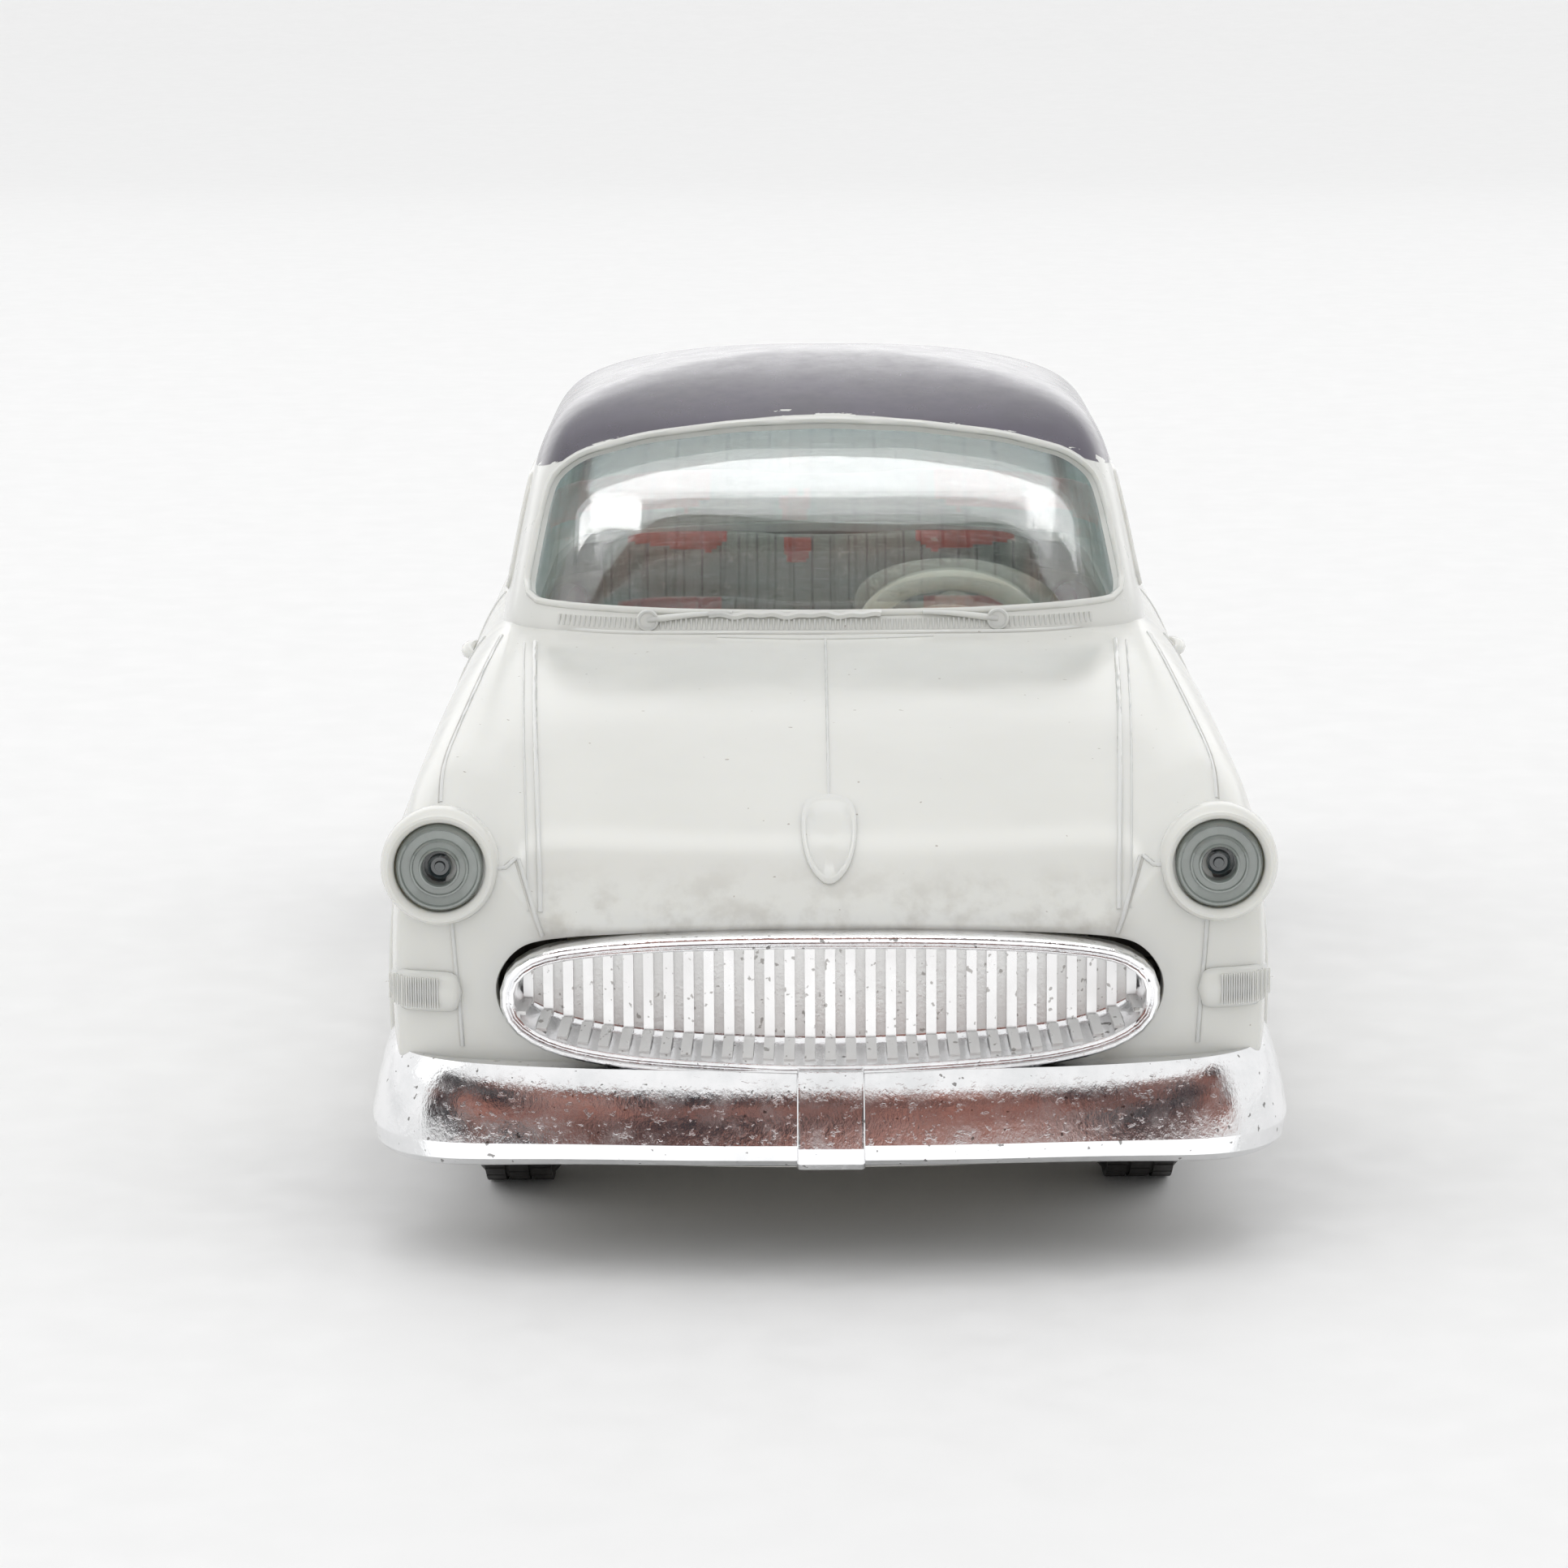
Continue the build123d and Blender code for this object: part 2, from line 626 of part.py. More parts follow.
def make_base_plate():
    """Pressed tin with wheel wells, a slot under the gears and a flat pad for a stand."""
    with BuildPart() as base_plate:
        block(-BASE_HALF, BASE_HALF, BASE_FRONT, BASE_BACK, BASE_Z, BASE_TOP)
        fillet(base_plate.edges().filter_by(Axis.Z), radius=8.0)
        for axle in (FRONT_AXLE, REAR_AXLE):
            for side in (-1, 1):
                low, high = sorted((side * WELL_X, side * PLAN_HALF))
                well = (axle - WELL_HALF, axle + WELL_HALF)
                block(low, high, *well, BASE_Z - 1, BASE_TOP + 1, mode=Mode.SUBTRACT)
        slot = PLATE_X - 0.6
        block(-slot, slot, *MOTOR_SLOT, BASE_Z - 1, BASE_TOP + 1, mode=Mode.SUBTRACT)
        block(-PAD_HALF, PAD_HALF, PAD_FRONT, PAD_BACK, BASE_Z - PAD_DROP, BASE_TOP)
        half = PAD_HALF - TIN
        hollow = (PAD_FRONT + TIN, PAD_BACK - TIN)
        block(-half, half, *hollow, BASE_TOP - PAD_DROP, BASE_TOP + 1, mode=Mode.SUBTRACT)
        post(SCREW_R + FIT, BASE_Z - 1, BASE_TOP + 1, screw_places(), mode=Mode.SUBTRACT)
        for places in (BRACKET_RIVETS, FOOT_RIVETS):
            post(RIVET_R, BASE_Z - 1, BASE_TOP + 1, places, mode=Mode.SUBTRACT)
    return base_plate.part


def make_base_screws():
    """Four slotted screws up through the base into the body's posts."""
    with BuildPart() as base_screws:
        post(SCREW_R, BASE_Z, BASE_Z + SCREW_REACH, screw_places())
        post(SCREW_HEAD_R, BASE_Z - SCREW_HEAD, BASE_Z, screw_places())
        for x, distance in screw_places():
            slot = (x - 3.0, x + 3.0, distance - 0.3, distance + 0.3)
            block(*slot, BASE_Z - SCREW_HEAD - 1, BASE_Z - SCREW_HEAD + 0.5, mode=Mode.SUBTRACT)
    return base_screws.part


def make_motor_plate(side):
    """One side plate of the motor, with three bearings, the pillars' holes and two feet."""
    inner, outer = side * PLATE_X, side * (PLATE_X + PLATE_T)
    outline = [(along(distance), z) for distance, z in PLATE_PROFILE]
    with BuildPart() as motor_plate:
        with BuildSketch(side_plane(inner)):
            with BuildLine():
                Polyline(*outline, close=True)
            make_face()
        extrude(amount=side * PLATE_T)
        for distance in FOOT_ROWS:
            low, high = sorted((outer, outer + side * FOOT_LENGTH))
            foot = (distance - FOOT_HALF, distance + FOOT_HALF)
            block(low, high, *foot, BASE_TOP, BASE_TOP + PLATE_T)
        feet = [place for place in FOOT_RIVETS if place[0] * side > 0]
        post(RIVET_R, BASE_TOP - 1, BASE_TOP + 2, feet, mode=Mode.SUBTRACT)
        through = (inner - side, outer + side)
        rod(AXLE_R + FIT, *through, (REAR_AXLE, AXLE_Z), mode=Mode.SUBTRACT)
        rod(SHAFT_R + FIT, *through, COUNTER_AT, mode=Mode.SUBTRACT)
        rod(SHAFT_R + FIT, *through, FLYWHEEL_AT, mode=Mode.SUBTRACT)
        for pillar in PILLARS:
            rod(PILLAR_END_R, *through, pillar, mode=Mode.SUBTRACT)
    return motor_plate.part


def make_motor_pillars():
    """Three shouldered pillars with their ends turned over outside the plates."""
    end = PLATE_X + PLATE_T
    with BuildPart() as motor_pillars:
        for place in PILLARS:
            rod(PILLAR_R, -PLATE_X, PLATE_X, place)
            rod(PILLAR_END_R, -end, end, place)
            for side in (-1, 1):
                rod(PILLAR_R, side * end, side * (end + 0.5), place)
    return motor_pillars.part


def make_rivets(places, sheet):
    """Rivets from the base's underside up through a sheet, with a flat head on top."""
    with BuildPart() as rivets:
        post(RIVET_R, BASE_Z, BASE_TOP + sheet, places)
        post(RIVET_HEAD_R, BASE_TOP + sheet, BASE_TOP + sheet + RIVET_HEAD, places)
    return rivets.part


def make_front_axle_bracket():
    """A folded tin saddle whose two ears carry the front axle."""
    outer = EAR_X + EAR_T
    with BuildPart() as front_axle_bracket:
        block(-outer, outer, 46.0, 50.4, BASE_TOP, BASE_TOP + EAR_T)
        for side in (-1, 1):
            low, high = sorted((side * EAR_X, side * outer))
            block(low, high, 39.4, 50.4, BASE_TOP, 19.0)
        rod(AXLE_R + FIT, -outer - 1, outer + 1, (FRONT_AXLE, AXLE_Z), mode=Mode.SUBTRACT)
        post(RIVET_R, BASE_TOP - 1, BASE_TOP + 2, BRACKET_RIVETS, mode=Mode.SUBTRACT)
    return front_axle_bracket.part


# ---------------------------------------------------------------- gears
PRESSURE_ANGLE = 20.0
ADDENDUM = 0.80  # shorter than standard, in modules
DEDENDUM = 1.25
BACKLASH = 0.16
FLANK_STEPS = 3
# Looking along +X, angles run from the tail upwards: each mate lies forwards and up.
TOWARDS_FLYWHEEL = 180.0 - TRAIN_RISE
TOWARDS_AXLE = -TRAIN_RISE


def gear_outline(teeth):
    """Points round a spur gear, with involute flanks in short straight steps."""
    pitch = MODULE * teeth / 2
    base = pitch * math.cos(math.radians(PRESSURE_ANGLE))
    tip = pitch + ADDENDUM * MODULE
    root = pitch - DEDENDUM * MODULE
    half_tooth = (math.pi * MODULE / 2 - BACKLASH) / 2 / pitch

    def unwound(radius):
        """Angle the involute has turned between its base circle and radius."""
        roll = math.sqrt(max(radius**2 - base**2, 0)) / base
        return roll - math.atan(roll)

    start = max(base, root)
    flank = [start + (tip - start) * step / FLANK_STEPS for step in range(FLANK_STEPS + 1)]
    flank_points = [(r, half_tooth + unwound(pitch) - unwound(r)) for r in flank]
    if root < base:
        flank_points.insert(0, (root, flank_points[0][1]))
    points = []
    for tooth in range(teeth):
        middle = 2 * math.pi * tooth / teeth
        rising = [(r, middle - a) for r, a in flank_points]
        falling = [(r, middle + a) for r, a in reversed(flank_points)]
        points += [(r * math.cos(a), r * math.sin(a)) for r, a in rising + falling]
    return points


def make_gear(teeth, bore, x0, x1, place, turn, hub=None):
    """A spur gear about X, its first tooth turned to an angle, with an optional hub."""
    outline = gear_outline(teeth)
    with BuildPart() as gear:
        with BuildSketch():
            with BuildLine():
                Polyline(*outline, close=True)
            make_face()
        extrude(amount=x1 - x0)
        if hub:
            hub_r, hub_length = hub
            with Locations((0, 0, x1 - x0)):
                Cylinder(hub_r, hub_length, align=FROM_END)
        Cylinder(bore, PLAN_HALF, mode=Mode.SUBTRACT)
    turned = gear.part.rotate(Axis.Z, turn)
    return side_plane(x0).location * Pos(along(place[0]), place[1], 0) * turned


def space_towards(teeth, direction):
    """Turn that puts a gap between teeth, not a tooth, on a direction."""
    return direction + 180.0 / teeth


# ---------------------------------------------------------------- wheels and flywheels
TYRE_IN, TYRE_OUT = WHEEL_X - TYRE_WIDTH / 2, WHEEL_X + TYRE_WIDTH / 2
TYRE_SHOULDER = 1.9
HUB_R = 2.6
HUB_IN = TYRE_IN + 0.2
AXLE_END = 33.4
DISC_OUT = 32.2
DISC_IN = DISC_OUT - 1.0
SPACER_R = 1.9
BOSS_R = 3.0
FLYWHEEL_IN = PLATE_X + PLATE_T + 1.2
FLYWHEEL_T = 4.0
FLYWHEEL_DISH = 0.8

TYRE_PROFILE = [
    (TYRE_IN, RIM_R),
    (TYRE_OUT, RIM_R),
    (TYRE_OUT, TYRE_R - TYRE_SHOULDER),
    (TYRE_OUT - TYRE_SHOULDER, TYRE_R),
    (TYRE_IN + TYRE_SHOULDER, TYRE_R),
    (TYRE_IN, TYRE_R - TYRE_SHOULDER),
]
RIM_PROFILE = [
    (TYRE_IN + 0.4, RIM_R),
    (TYRE_OUT - 0.4, RIM_R),
    (TYRE_OUT - 0.4, RIM_R - 0.9),
    (DISC_OUT, 7.0),
    (DISC_OUT, HUB_R),
    (AXLE_END, HUB_R),
    (AXLE_END, AXLE_R),
    (HUB_IN, AXLE_R),
    (HUB_IN, HUB_R),
    (DISC_IN, HUB_R),
    (DISC_IN, 7.2),
    (TYRE_IN + 0.4, RIM_R - 0.9),
]
FLYWHEEL_PROFILE = [
    (FLYWHEEL_IN, SHAFT_R),
    (FLYWHEEL_IN, BOSS_R),
    (FLYWHEEL_IN + FLYWHEEL_DISH, BOSS_R + 0.6),
    (FLYWHEEL_IN + FLYWHEEL_DISH, 8.2),
    (FLYWHEEL_IN, 8.8),
    (FLYWHEEL_IN, FLYWHEEL_R),
    (FLYWHEEL_IN + FLYWHEEL_T, FLYWHEEL_R),
    (FLYWHEEL_IN + FLYWHEEL_T, 8.8),
    (FLYWHEEL_IN + FLYWHEEL_T - FLYWHEEL_DISH, 8.2),
    (FLYWHEEL_IN + FLYWHEEL_T - FLYWHEEL_DISH, BOSS_R + 0.6),
    (FLYWHEEL_IN + FLYWHEEL_T, BOSS_R),
    (FLYWHEEL_IN + FLYWHEEL_T, SHAFT_R),
]


def turned_about_x(profile, place, side):
    """A closed profile of x and radius, revolved about an axle on one side of the car."""
    with BuildPart() as turned:
        with BuildSketch():
            with BuildLine():
                Polyline(*[(side * x, radius) for x, radius in profile], close=True)
            make_face()
        revolve(axis=Axis.X)
    return Pos(0, along(place[0]), place[1]) * turned.part


def make_tyre(side, axle):
    """A plain rubber ring with rounded shoulders."""
    ring = turned_about_x(TYRE_PROFILE, (axle, AXLE_Z), side)
    with BuildPart() as tyre:
        add(ring)
        circles = tyre.edges().filter_by(GeomType.CIRCLE).group_by(lambda edge: round(edge.radius, 3))
        fillet([edge for group in circles[1:] for edge in group], radius=0.7)
    return tyre.part


def make_hubcap(side, axle):
    """A hollow plated dome sprung on to the wheel disc over the axle's end."""
    with BuildPart() as hubcap:
        with BuildSketch():
            with BuildLine():
                outer = TangentArc((side * 34.9, 0), (side * DISC_OUT, 5.6), tangent=(0, 1))
                inner = TangentArc((side * 34.4, 0), (side * DISC_OUT, 5.1), tangent=(0, 1))
                Line(outer @ 0, inner @ 0)
                Line(outer @ 1, inner @ 1)
            make_face()
        revolve(axis=Axis.X)
    return Pos(0, along(axle), AXLE_Z) * hubcap.part


def make_spacers(axle, inner_x):
    """A tube each side that keeps the wheels in place."""
    with BuildPart() as spacers:
        for side in (-1, 1):
            rod(SPACER_R, side * inner_x, side * HUB_IN, (axle, AXLE_Z))
        rod(AXLE_R, -HUB_IN, HUB_IN, (axle, AXLE_Z), mode=Mode.SUBTRACT)
    return spacers.part


def make_shaft(radius, half, place):
    with BuildPart() as shaft:
        rod(radius, -half, half, place)
    return shaft.part


# ---------------------------------------------------------------- the whole car
def save_fixed_pieces():
    save(make_body_shell(), "body_shell")
    save(make_glazing(), "window_glazing")
    save(make_front_bumper(), "front_bumper_grille")
    save(make_rear_bumper(), "rear_bumper")
    save(make_dashboard(), "dashboard")
    save(bent_sheet(FLOOR_POINTS, FLOOR_HALF), "interior_floor")
    save(make_front_seat(), "front_seat")
    save(bent_sheet(REAR_SEAT_POINTS, REAR_SEAT_HALF), "rear_seat")
    save(make_base_plate(), "base_plate")
    save(make_base_screws(), "base_screws")
    save(make_front_axle_bracket(), "front_axle_bracket")
    save(make_rivets(BRACKET_RIVETS, EAR_T), "bracket_rivets")
    save(make_motor_pillars(), "motor_pillars")
    save(make_rivets(FOOT_RIVETS, PLATE_T), "motor_rivets")
    for side, hand in ((-1, "right"), (1, "left")):
        save(make_headlight_lens(side), f"headlight_lens_{hand}")
        save(make_tail_light(side), f"tail_light_{hand}")
        save(make_motor_plate(side), f"motor_plate_{hand}")


def save_steering():
    save(make_steering_wheel(), "steering_wheel")
    save(make_steering_column(), "steering_column")


def save_wheels():
    places = (
        ("front", FRONT_AXLE, EAR_X + EAR_T + GAP),
        ("rear", REAR_AXLE, PLATE_X + PLATE_T + GAP),
    )
    for end, axle, spacer_x in places:
        save(make_shaft(AXLE_R, AXLE_END, (axle, AXLE_Z)), f"{end}_axle")
        save(make_spacers(axle, spacer_x), f"{end}_axle_spacers")
        for side, hand in ((-1, "right"), (1, "left")):
            save(make_tyre(side, axle), f"{end}_tyre_{hand}")
            save(turned_about_x(RIM_PROFILE, (axle, AXLE_Z), side), f"{end}_rim_{hand}")
            save(make_hubcap(side, axle), f"{end}_hubcap_{hand}")


def save_gear_train():
    axle = (REAR_AXLE, AXLE_Z)
    drive_gear = make_gear(DRIVE_TEETH, AXLE_R, 2.0, 4.0, axle, TOWARDS_FLYWHEEL, hub=(2.4, 2.2))
    save(drive_gear, "drive_gear")
    pinion_turn = space_towards(PINION_TEETH, TOWARDS_AXLE)
    counter_pinion = make_gear(PINION_TEETH, SHAFT_R, 1.6, 4.4, COUNTER_AT, pinion_turn)
    save(counter_pinion, "counter_pinion")
    counter_gear = make_gear(
        COUNTER_TEETH, SHAFT_R, -4.0, -2.0, COUNTER_AT, TOWARDS_FLYWHEEL, hub=(1.9, 3.6)
    )
    save(counter_gear, "counter_gear")
    flywheel_pinion = make_gear(PINION_TEETH, SHAFT_R, -4.4, -1.6, FLYWHEEL_AT, pinion_turn)
    save(flywheel_pinion, "flywheel_pinion")
    save(make_shaft(SHAFT_R, PLATE_X + PLATE_T + 0.6, COUNTER_AT), "countershaft")
    save(make_shaft(SHAFT_R, FLYWHEEL_IN + FLYWHEEL_T + 0.6, FLYWHEEL_AT), "flywheel_shaft")
    for side, hand in ((-1, "right"), (1, "left")):
        save(turned_about_x(FLYWHEEL_PROFILE, FLYWHEEL_AT, side), f"flywheel_{hand}")


def main():
    save_fixed_pieces()
    save_steering()
    save_wheels()
    save_gear_train()


if __name__ == "__main__":
    main()
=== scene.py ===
import json
import math

import bmesh
import bpy
import numpy as np
from bpy.props import FloatProperty, FloatVectorProperty, IntProperty, PointerProperty
from mathutils import Matrix, Vector
from mathutils.bvhtree import BVHTree


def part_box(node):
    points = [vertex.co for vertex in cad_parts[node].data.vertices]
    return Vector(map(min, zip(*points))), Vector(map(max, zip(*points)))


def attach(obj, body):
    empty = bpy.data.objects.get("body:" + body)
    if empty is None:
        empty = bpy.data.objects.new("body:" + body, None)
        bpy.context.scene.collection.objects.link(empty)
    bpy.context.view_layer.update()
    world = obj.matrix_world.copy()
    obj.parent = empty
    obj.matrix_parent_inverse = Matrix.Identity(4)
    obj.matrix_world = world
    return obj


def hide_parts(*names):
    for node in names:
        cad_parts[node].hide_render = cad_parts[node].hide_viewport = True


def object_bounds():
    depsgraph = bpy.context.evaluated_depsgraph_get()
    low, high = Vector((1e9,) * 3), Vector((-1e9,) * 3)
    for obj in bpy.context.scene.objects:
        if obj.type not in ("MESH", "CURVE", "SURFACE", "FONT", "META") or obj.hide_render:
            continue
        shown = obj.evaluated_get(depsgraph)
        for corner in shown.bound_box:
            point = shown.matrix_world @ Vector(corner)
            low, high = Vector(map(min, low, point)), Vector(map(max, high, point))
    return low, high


bl_info = {
    "name": "Friction Toy Car",
    "version": (1, 0, 0),
    "blender": (4, 5, 0),
    "location": "View3D > Sidebar > Toy Car",
    "description": "Builds the looks of a friction-drive toy saloon on its packed frame",
    "category": "Object",
}

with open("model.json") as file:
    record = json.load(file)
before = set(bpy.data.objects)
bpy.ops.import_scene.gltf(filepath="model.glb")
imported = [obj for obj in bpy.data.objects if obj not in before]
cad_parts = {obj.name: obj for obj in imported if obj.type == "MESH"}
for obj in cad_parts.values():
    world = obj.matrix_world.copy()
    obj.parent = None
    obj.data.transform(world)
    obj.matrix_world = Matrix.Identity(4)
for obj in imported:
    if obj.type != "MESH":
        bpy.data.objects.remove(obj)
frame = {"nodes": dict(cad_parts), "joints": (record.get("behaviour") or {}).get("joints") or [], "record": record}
CAD_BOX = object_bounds()

# ---------------------------------------------------------------- places
# Outlines are in millimetres: x to the car's left, s behind the front bumper's face, z up.
MM = 0.001
LENGTH = (CAD_BOX[1].y - CAD_BOX[0].y) / MM
NOSE_BOW = 126.0  # plan radius of the nose
TAIL_BOW = 150.0  # plan radius of the tail
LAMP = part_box("headlight_lens_left")
LAMP_SHIFT = (-0.2, -1.0, 0.4)  # of the stepped glass: x and z from the lens's middle, s from its face
LAMP_X = (LAMP[0].x + LAMP[1].x) / 2 / MM + LAMP_SHIFT[0]
LAMP_S = LAMP[0].y / MM + LENGTH / 2 + LAMP_SHIFT[1]
LAMP_Z = (LAMP[0].z + LAMP[1].z) / 2 / MM + LAMP_SHIFT[2]
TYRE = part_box("front_tyre_left")
TYRE_R = (TYRE[1].z - TYRE[0].z) / 2 / MM
AXLES = {
    end: (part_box(f"{end}_axle")[0].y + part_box(f"{end}_axle")[1].y) / 2 / MM + LENGTH / 2
    for end in ("front", "rear")
}
AXLE_Z = TYRE_R
ARCH_RISE = 1.0  # of the wheel arches' middle above the axles


def place(x, s, z):
    """The point in the frame, in metres, of a place given in millimetres."""
    return Vector((x, s - LENGTH / 2, z)) * MM


def bow(x, radius=NOSE_BOW):
    """How far a bowed end has swept back at x."""
    return x * x / (2 * radius)


def smooth_line(points, count):
    """A natural cubic spline through points, sampled evenly by the points' own spacing."""
    data = np.array(points, float)
    steps = np.linalg.norm(np.diff(data, axis=0), axis=1)
    knots = np.concatenate([[0], np.cumsum(steps)])
    n = len(data)
    matrix, right = np.eye(n), np.zeros_like(data)
    for i in range(1, n - 1):
        before, after = steps[i - 1], steps[i]
        matrix[i, i - 1 : i + 2] = before, 2 * (before + after), after
        right[i] = 3 * ((data[i + 1] - data[i]) / after - (data[i] - data[i - 1]) / before)
    bends = np.linalg.solve(matrix, right)
    out = []
    for t in np.linspace(0, knots[-1], count):
        i = min(np.searchsorted(knots, t, side="right") - 1, n - 2)
        h, u = steps[i], t - knots[i]
        slope = (data[i + 1] - data[i]) / h - h * (2 * bends[i] + bends[i + 1]) / 3
        out.append(data[i] + slope * u + bends[i] * u**2 + (bends[i + 1] - bends[i]) / (3 * h) * u**3)
    return [tuple(float(v) for v in point) for point in out]


def rounded(corners, radius, steps=6):
    """A closed outline with every corner rounded, as a list of points."""
    out = []
    count = len(corners)
    for i, corner in enumerate(corners):
        here = Vector(corner)
        before, after = Vector(corners[i - 1]) - here, Vector(corners[(i + 1) % count]) - here
        reach = min(radius, before.length * 0.48, after.length * 0.48)
        start, stop = here + before.normalized() * reach, here + after.normalized() * reach
        for k in range(steps + 1):
            t = k / steps
            out.append(tuple((1 - t) ** 2 * start + 2 * t * (1 - t) * here + t * t * stop))
    return out


def spaced(points, gap, closed=False):
    """Points along a polyline at an even gap."""
    line = [Vector(p) for p in points] + ([Vector(points[0])] if closed else [])
    lengths = [(b - a).length for a, b in zip(line, line[1:])]
    total = sum(lengths)
    count = max(2, round(total / gap))
    targets = [total * i / count for i in range(count + (0 if closed else 1))]
    out, walked, i = [], 0.0, 0
    for target in targets:
        while i < len(lengths) - 1 and walked + lengths[i] < target:
            walked += lengths[i]
            i += 1
        t = (target - walked) / lengths[i] if lengths[i] else 0
        out.append(line[i].lerp(line[i + 1], min(t, 1)))
    return out


# ---------------------------------------------------------------- meshes
def finish_mesh(mesh, material, angle=32):
    """Smooth faces with sharp edges above an angle, in one material."""
    mesh.polygons.foreach_set("use_smooth", [True] * len(mesh.polygons))
    mesh.set_sharp_from_angle(angle=math.radians(angle))
    mesh.materials.clear()
    mesh.materials.append(material)
    return mesh


def join_body(obj, body="car_body", replaced=()):
    """Makes a finished piece ride on its body and hides the frame's nodes it stands for."""
    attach(obj, body)
    if replaced:
        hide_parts(*replaced)
    return obj


def piece(name, verts, faces, material, angle=32):
    """A mesh object from points in metres."""
    mesh = bpy.data.meshes.new(name)
    mesh.from_pydata([tuple(v) for v in verts], [], faces)
    mesh.validate()
    finish_mesh(mesh, material, angle)
    obj = bpy.data.objects.new(name, mesh)
    bpy.context.scene.collection.objects.link(obj)
    return obj


def baked(obj, material, angle=32):
    """Turns the evaluated object into a plain mesh and removes its modifiers."""
    bpy.context.view_layer.update()
    graph = bpy.context.evaluated_depsgraph_get()
    mesh = bpy.data.meshes.new_from_object(obj.evaluated_get(graph), depsgraph=graph)
    obj.modifiers.clear()
    obj.data = mesh
    finish_mesh(mesh, material, angle)
    return obj


def outward(obj):
    """Recalculates the normals of a closed shape."""
    bm = bmesh.new()
    bm.from_mesh(obj.data)
    bmesh.ops.remove_doubles(bm, verts=bm.verts, dist=1e-7)
    bmesh.ops.recalc_face_normals(bm, faces=bm.faces)
    bm.to_mesh(obj.data)
    bm.free()
    return obj


def ring_faces(rings, count, closed_rings=True, closed_path=False, caps=True):
    """Quads between successive rings of count points each."""
    faces = []
    last = rings if closed_path else rings - 1
    around = count if closed_rings else count - 1
    for r in range(last):
        a, b = r * count, ((r + 1) % rings) * count
        for k in range(around):
            n = (k + 1) % count
            faces.append((a + k, a + n, b + n, b + k))
    if caps and not closed_path:
        faces.append(tuple(range(count - 1, -1, -1)))
        faces.append(tuple((rings - 1) * count + k for k in range(count)))
    return faces


def swept(name, rings, material, angle=32, **closure):
    """A closed skin over rings of points."""
    verts = [p for ring in rings for p in ring]
    obj = piece(name, verts, ring_faces(len(rings), len(rings[0]), **closure), material, angle)
    outward(obj)
    finish_mesh(obj.data, material, angle)
    return obj


def tube_rings(points, radius, closed=False, sides=8):
    """Rings round a line, carried along it without twisting. A radius may be one for each point."""
    line = [Vector(p) for p in points]
    count = len(line)
    normal = None
    rings = []
    for i, here in enumerate(line):
        before = line[i - 1] if (i or closed) else here
        after = line[(i + 1) % count] if (i < count - 1 or closed) else here
        tangent = (after - before).normalized()
        if normal is None:
            normal = tangent.orthogonal().normalized()
        normal = (normal - tangent * normal.dot(tangent)).normalized()
        across = tangent.cross(normal)
        r = radius[i] if isinstance(radius, (list, tuple)) else radius
        turns = [2 * math.pi * k / sides for k in range(sides)]
        rings.append([here + (normal * math.cos(a) + across * math.sin(a)) * r for a in turns])
    return rings


def tube(name, points, radius, material, closed=False, sides=8):
    """A round bar along a line of points in metres."""
    rings = tube_rings(points, radius, closed, sides)
    return swept(name, rings, material, 50, closed_path=closed)


def joined(name, objs, material, angle=32):
    """One object from several, all of one material."""
    bm = bmesh.new()
    for obj in objs:
        bm.from_mesh(obj.data)
        bpy.data.objects.remove(obj)
    mesh = bpy.data.meshes.new(name)
    bm.to_mesh(mesh)
    bm.free()
    finish_mesh(mesh, material, angle)
    obj = bpy.data.objects.new(name, mesh)
    bpy.context.scene.collection.objects.link(obj)
    return obj


def turned(name, profile, centre, axis, material, steps=64, angle=32):
    """A profile of (along, radius) in millimetres revolved about X or Y through a centre in metres."""
    rings = []
    for step in range(steps):
        a = 2 * math.pi * step / steps
        c, s = math.cos(a), math.sin(a)
        if axis == "X":
            rings.append([centre + Vector((l, r * c, r * s)) * MM for l, r in profile])
        else:
            rings.append([centre + Vector((r * c, l, r * s)) * MM for l, r in profile])
    closed = profile[0][1] > 0 and profile[-1][1] > 0
    return swept(name, rings, material, angle, closed_path=True, closed_rings=closed)


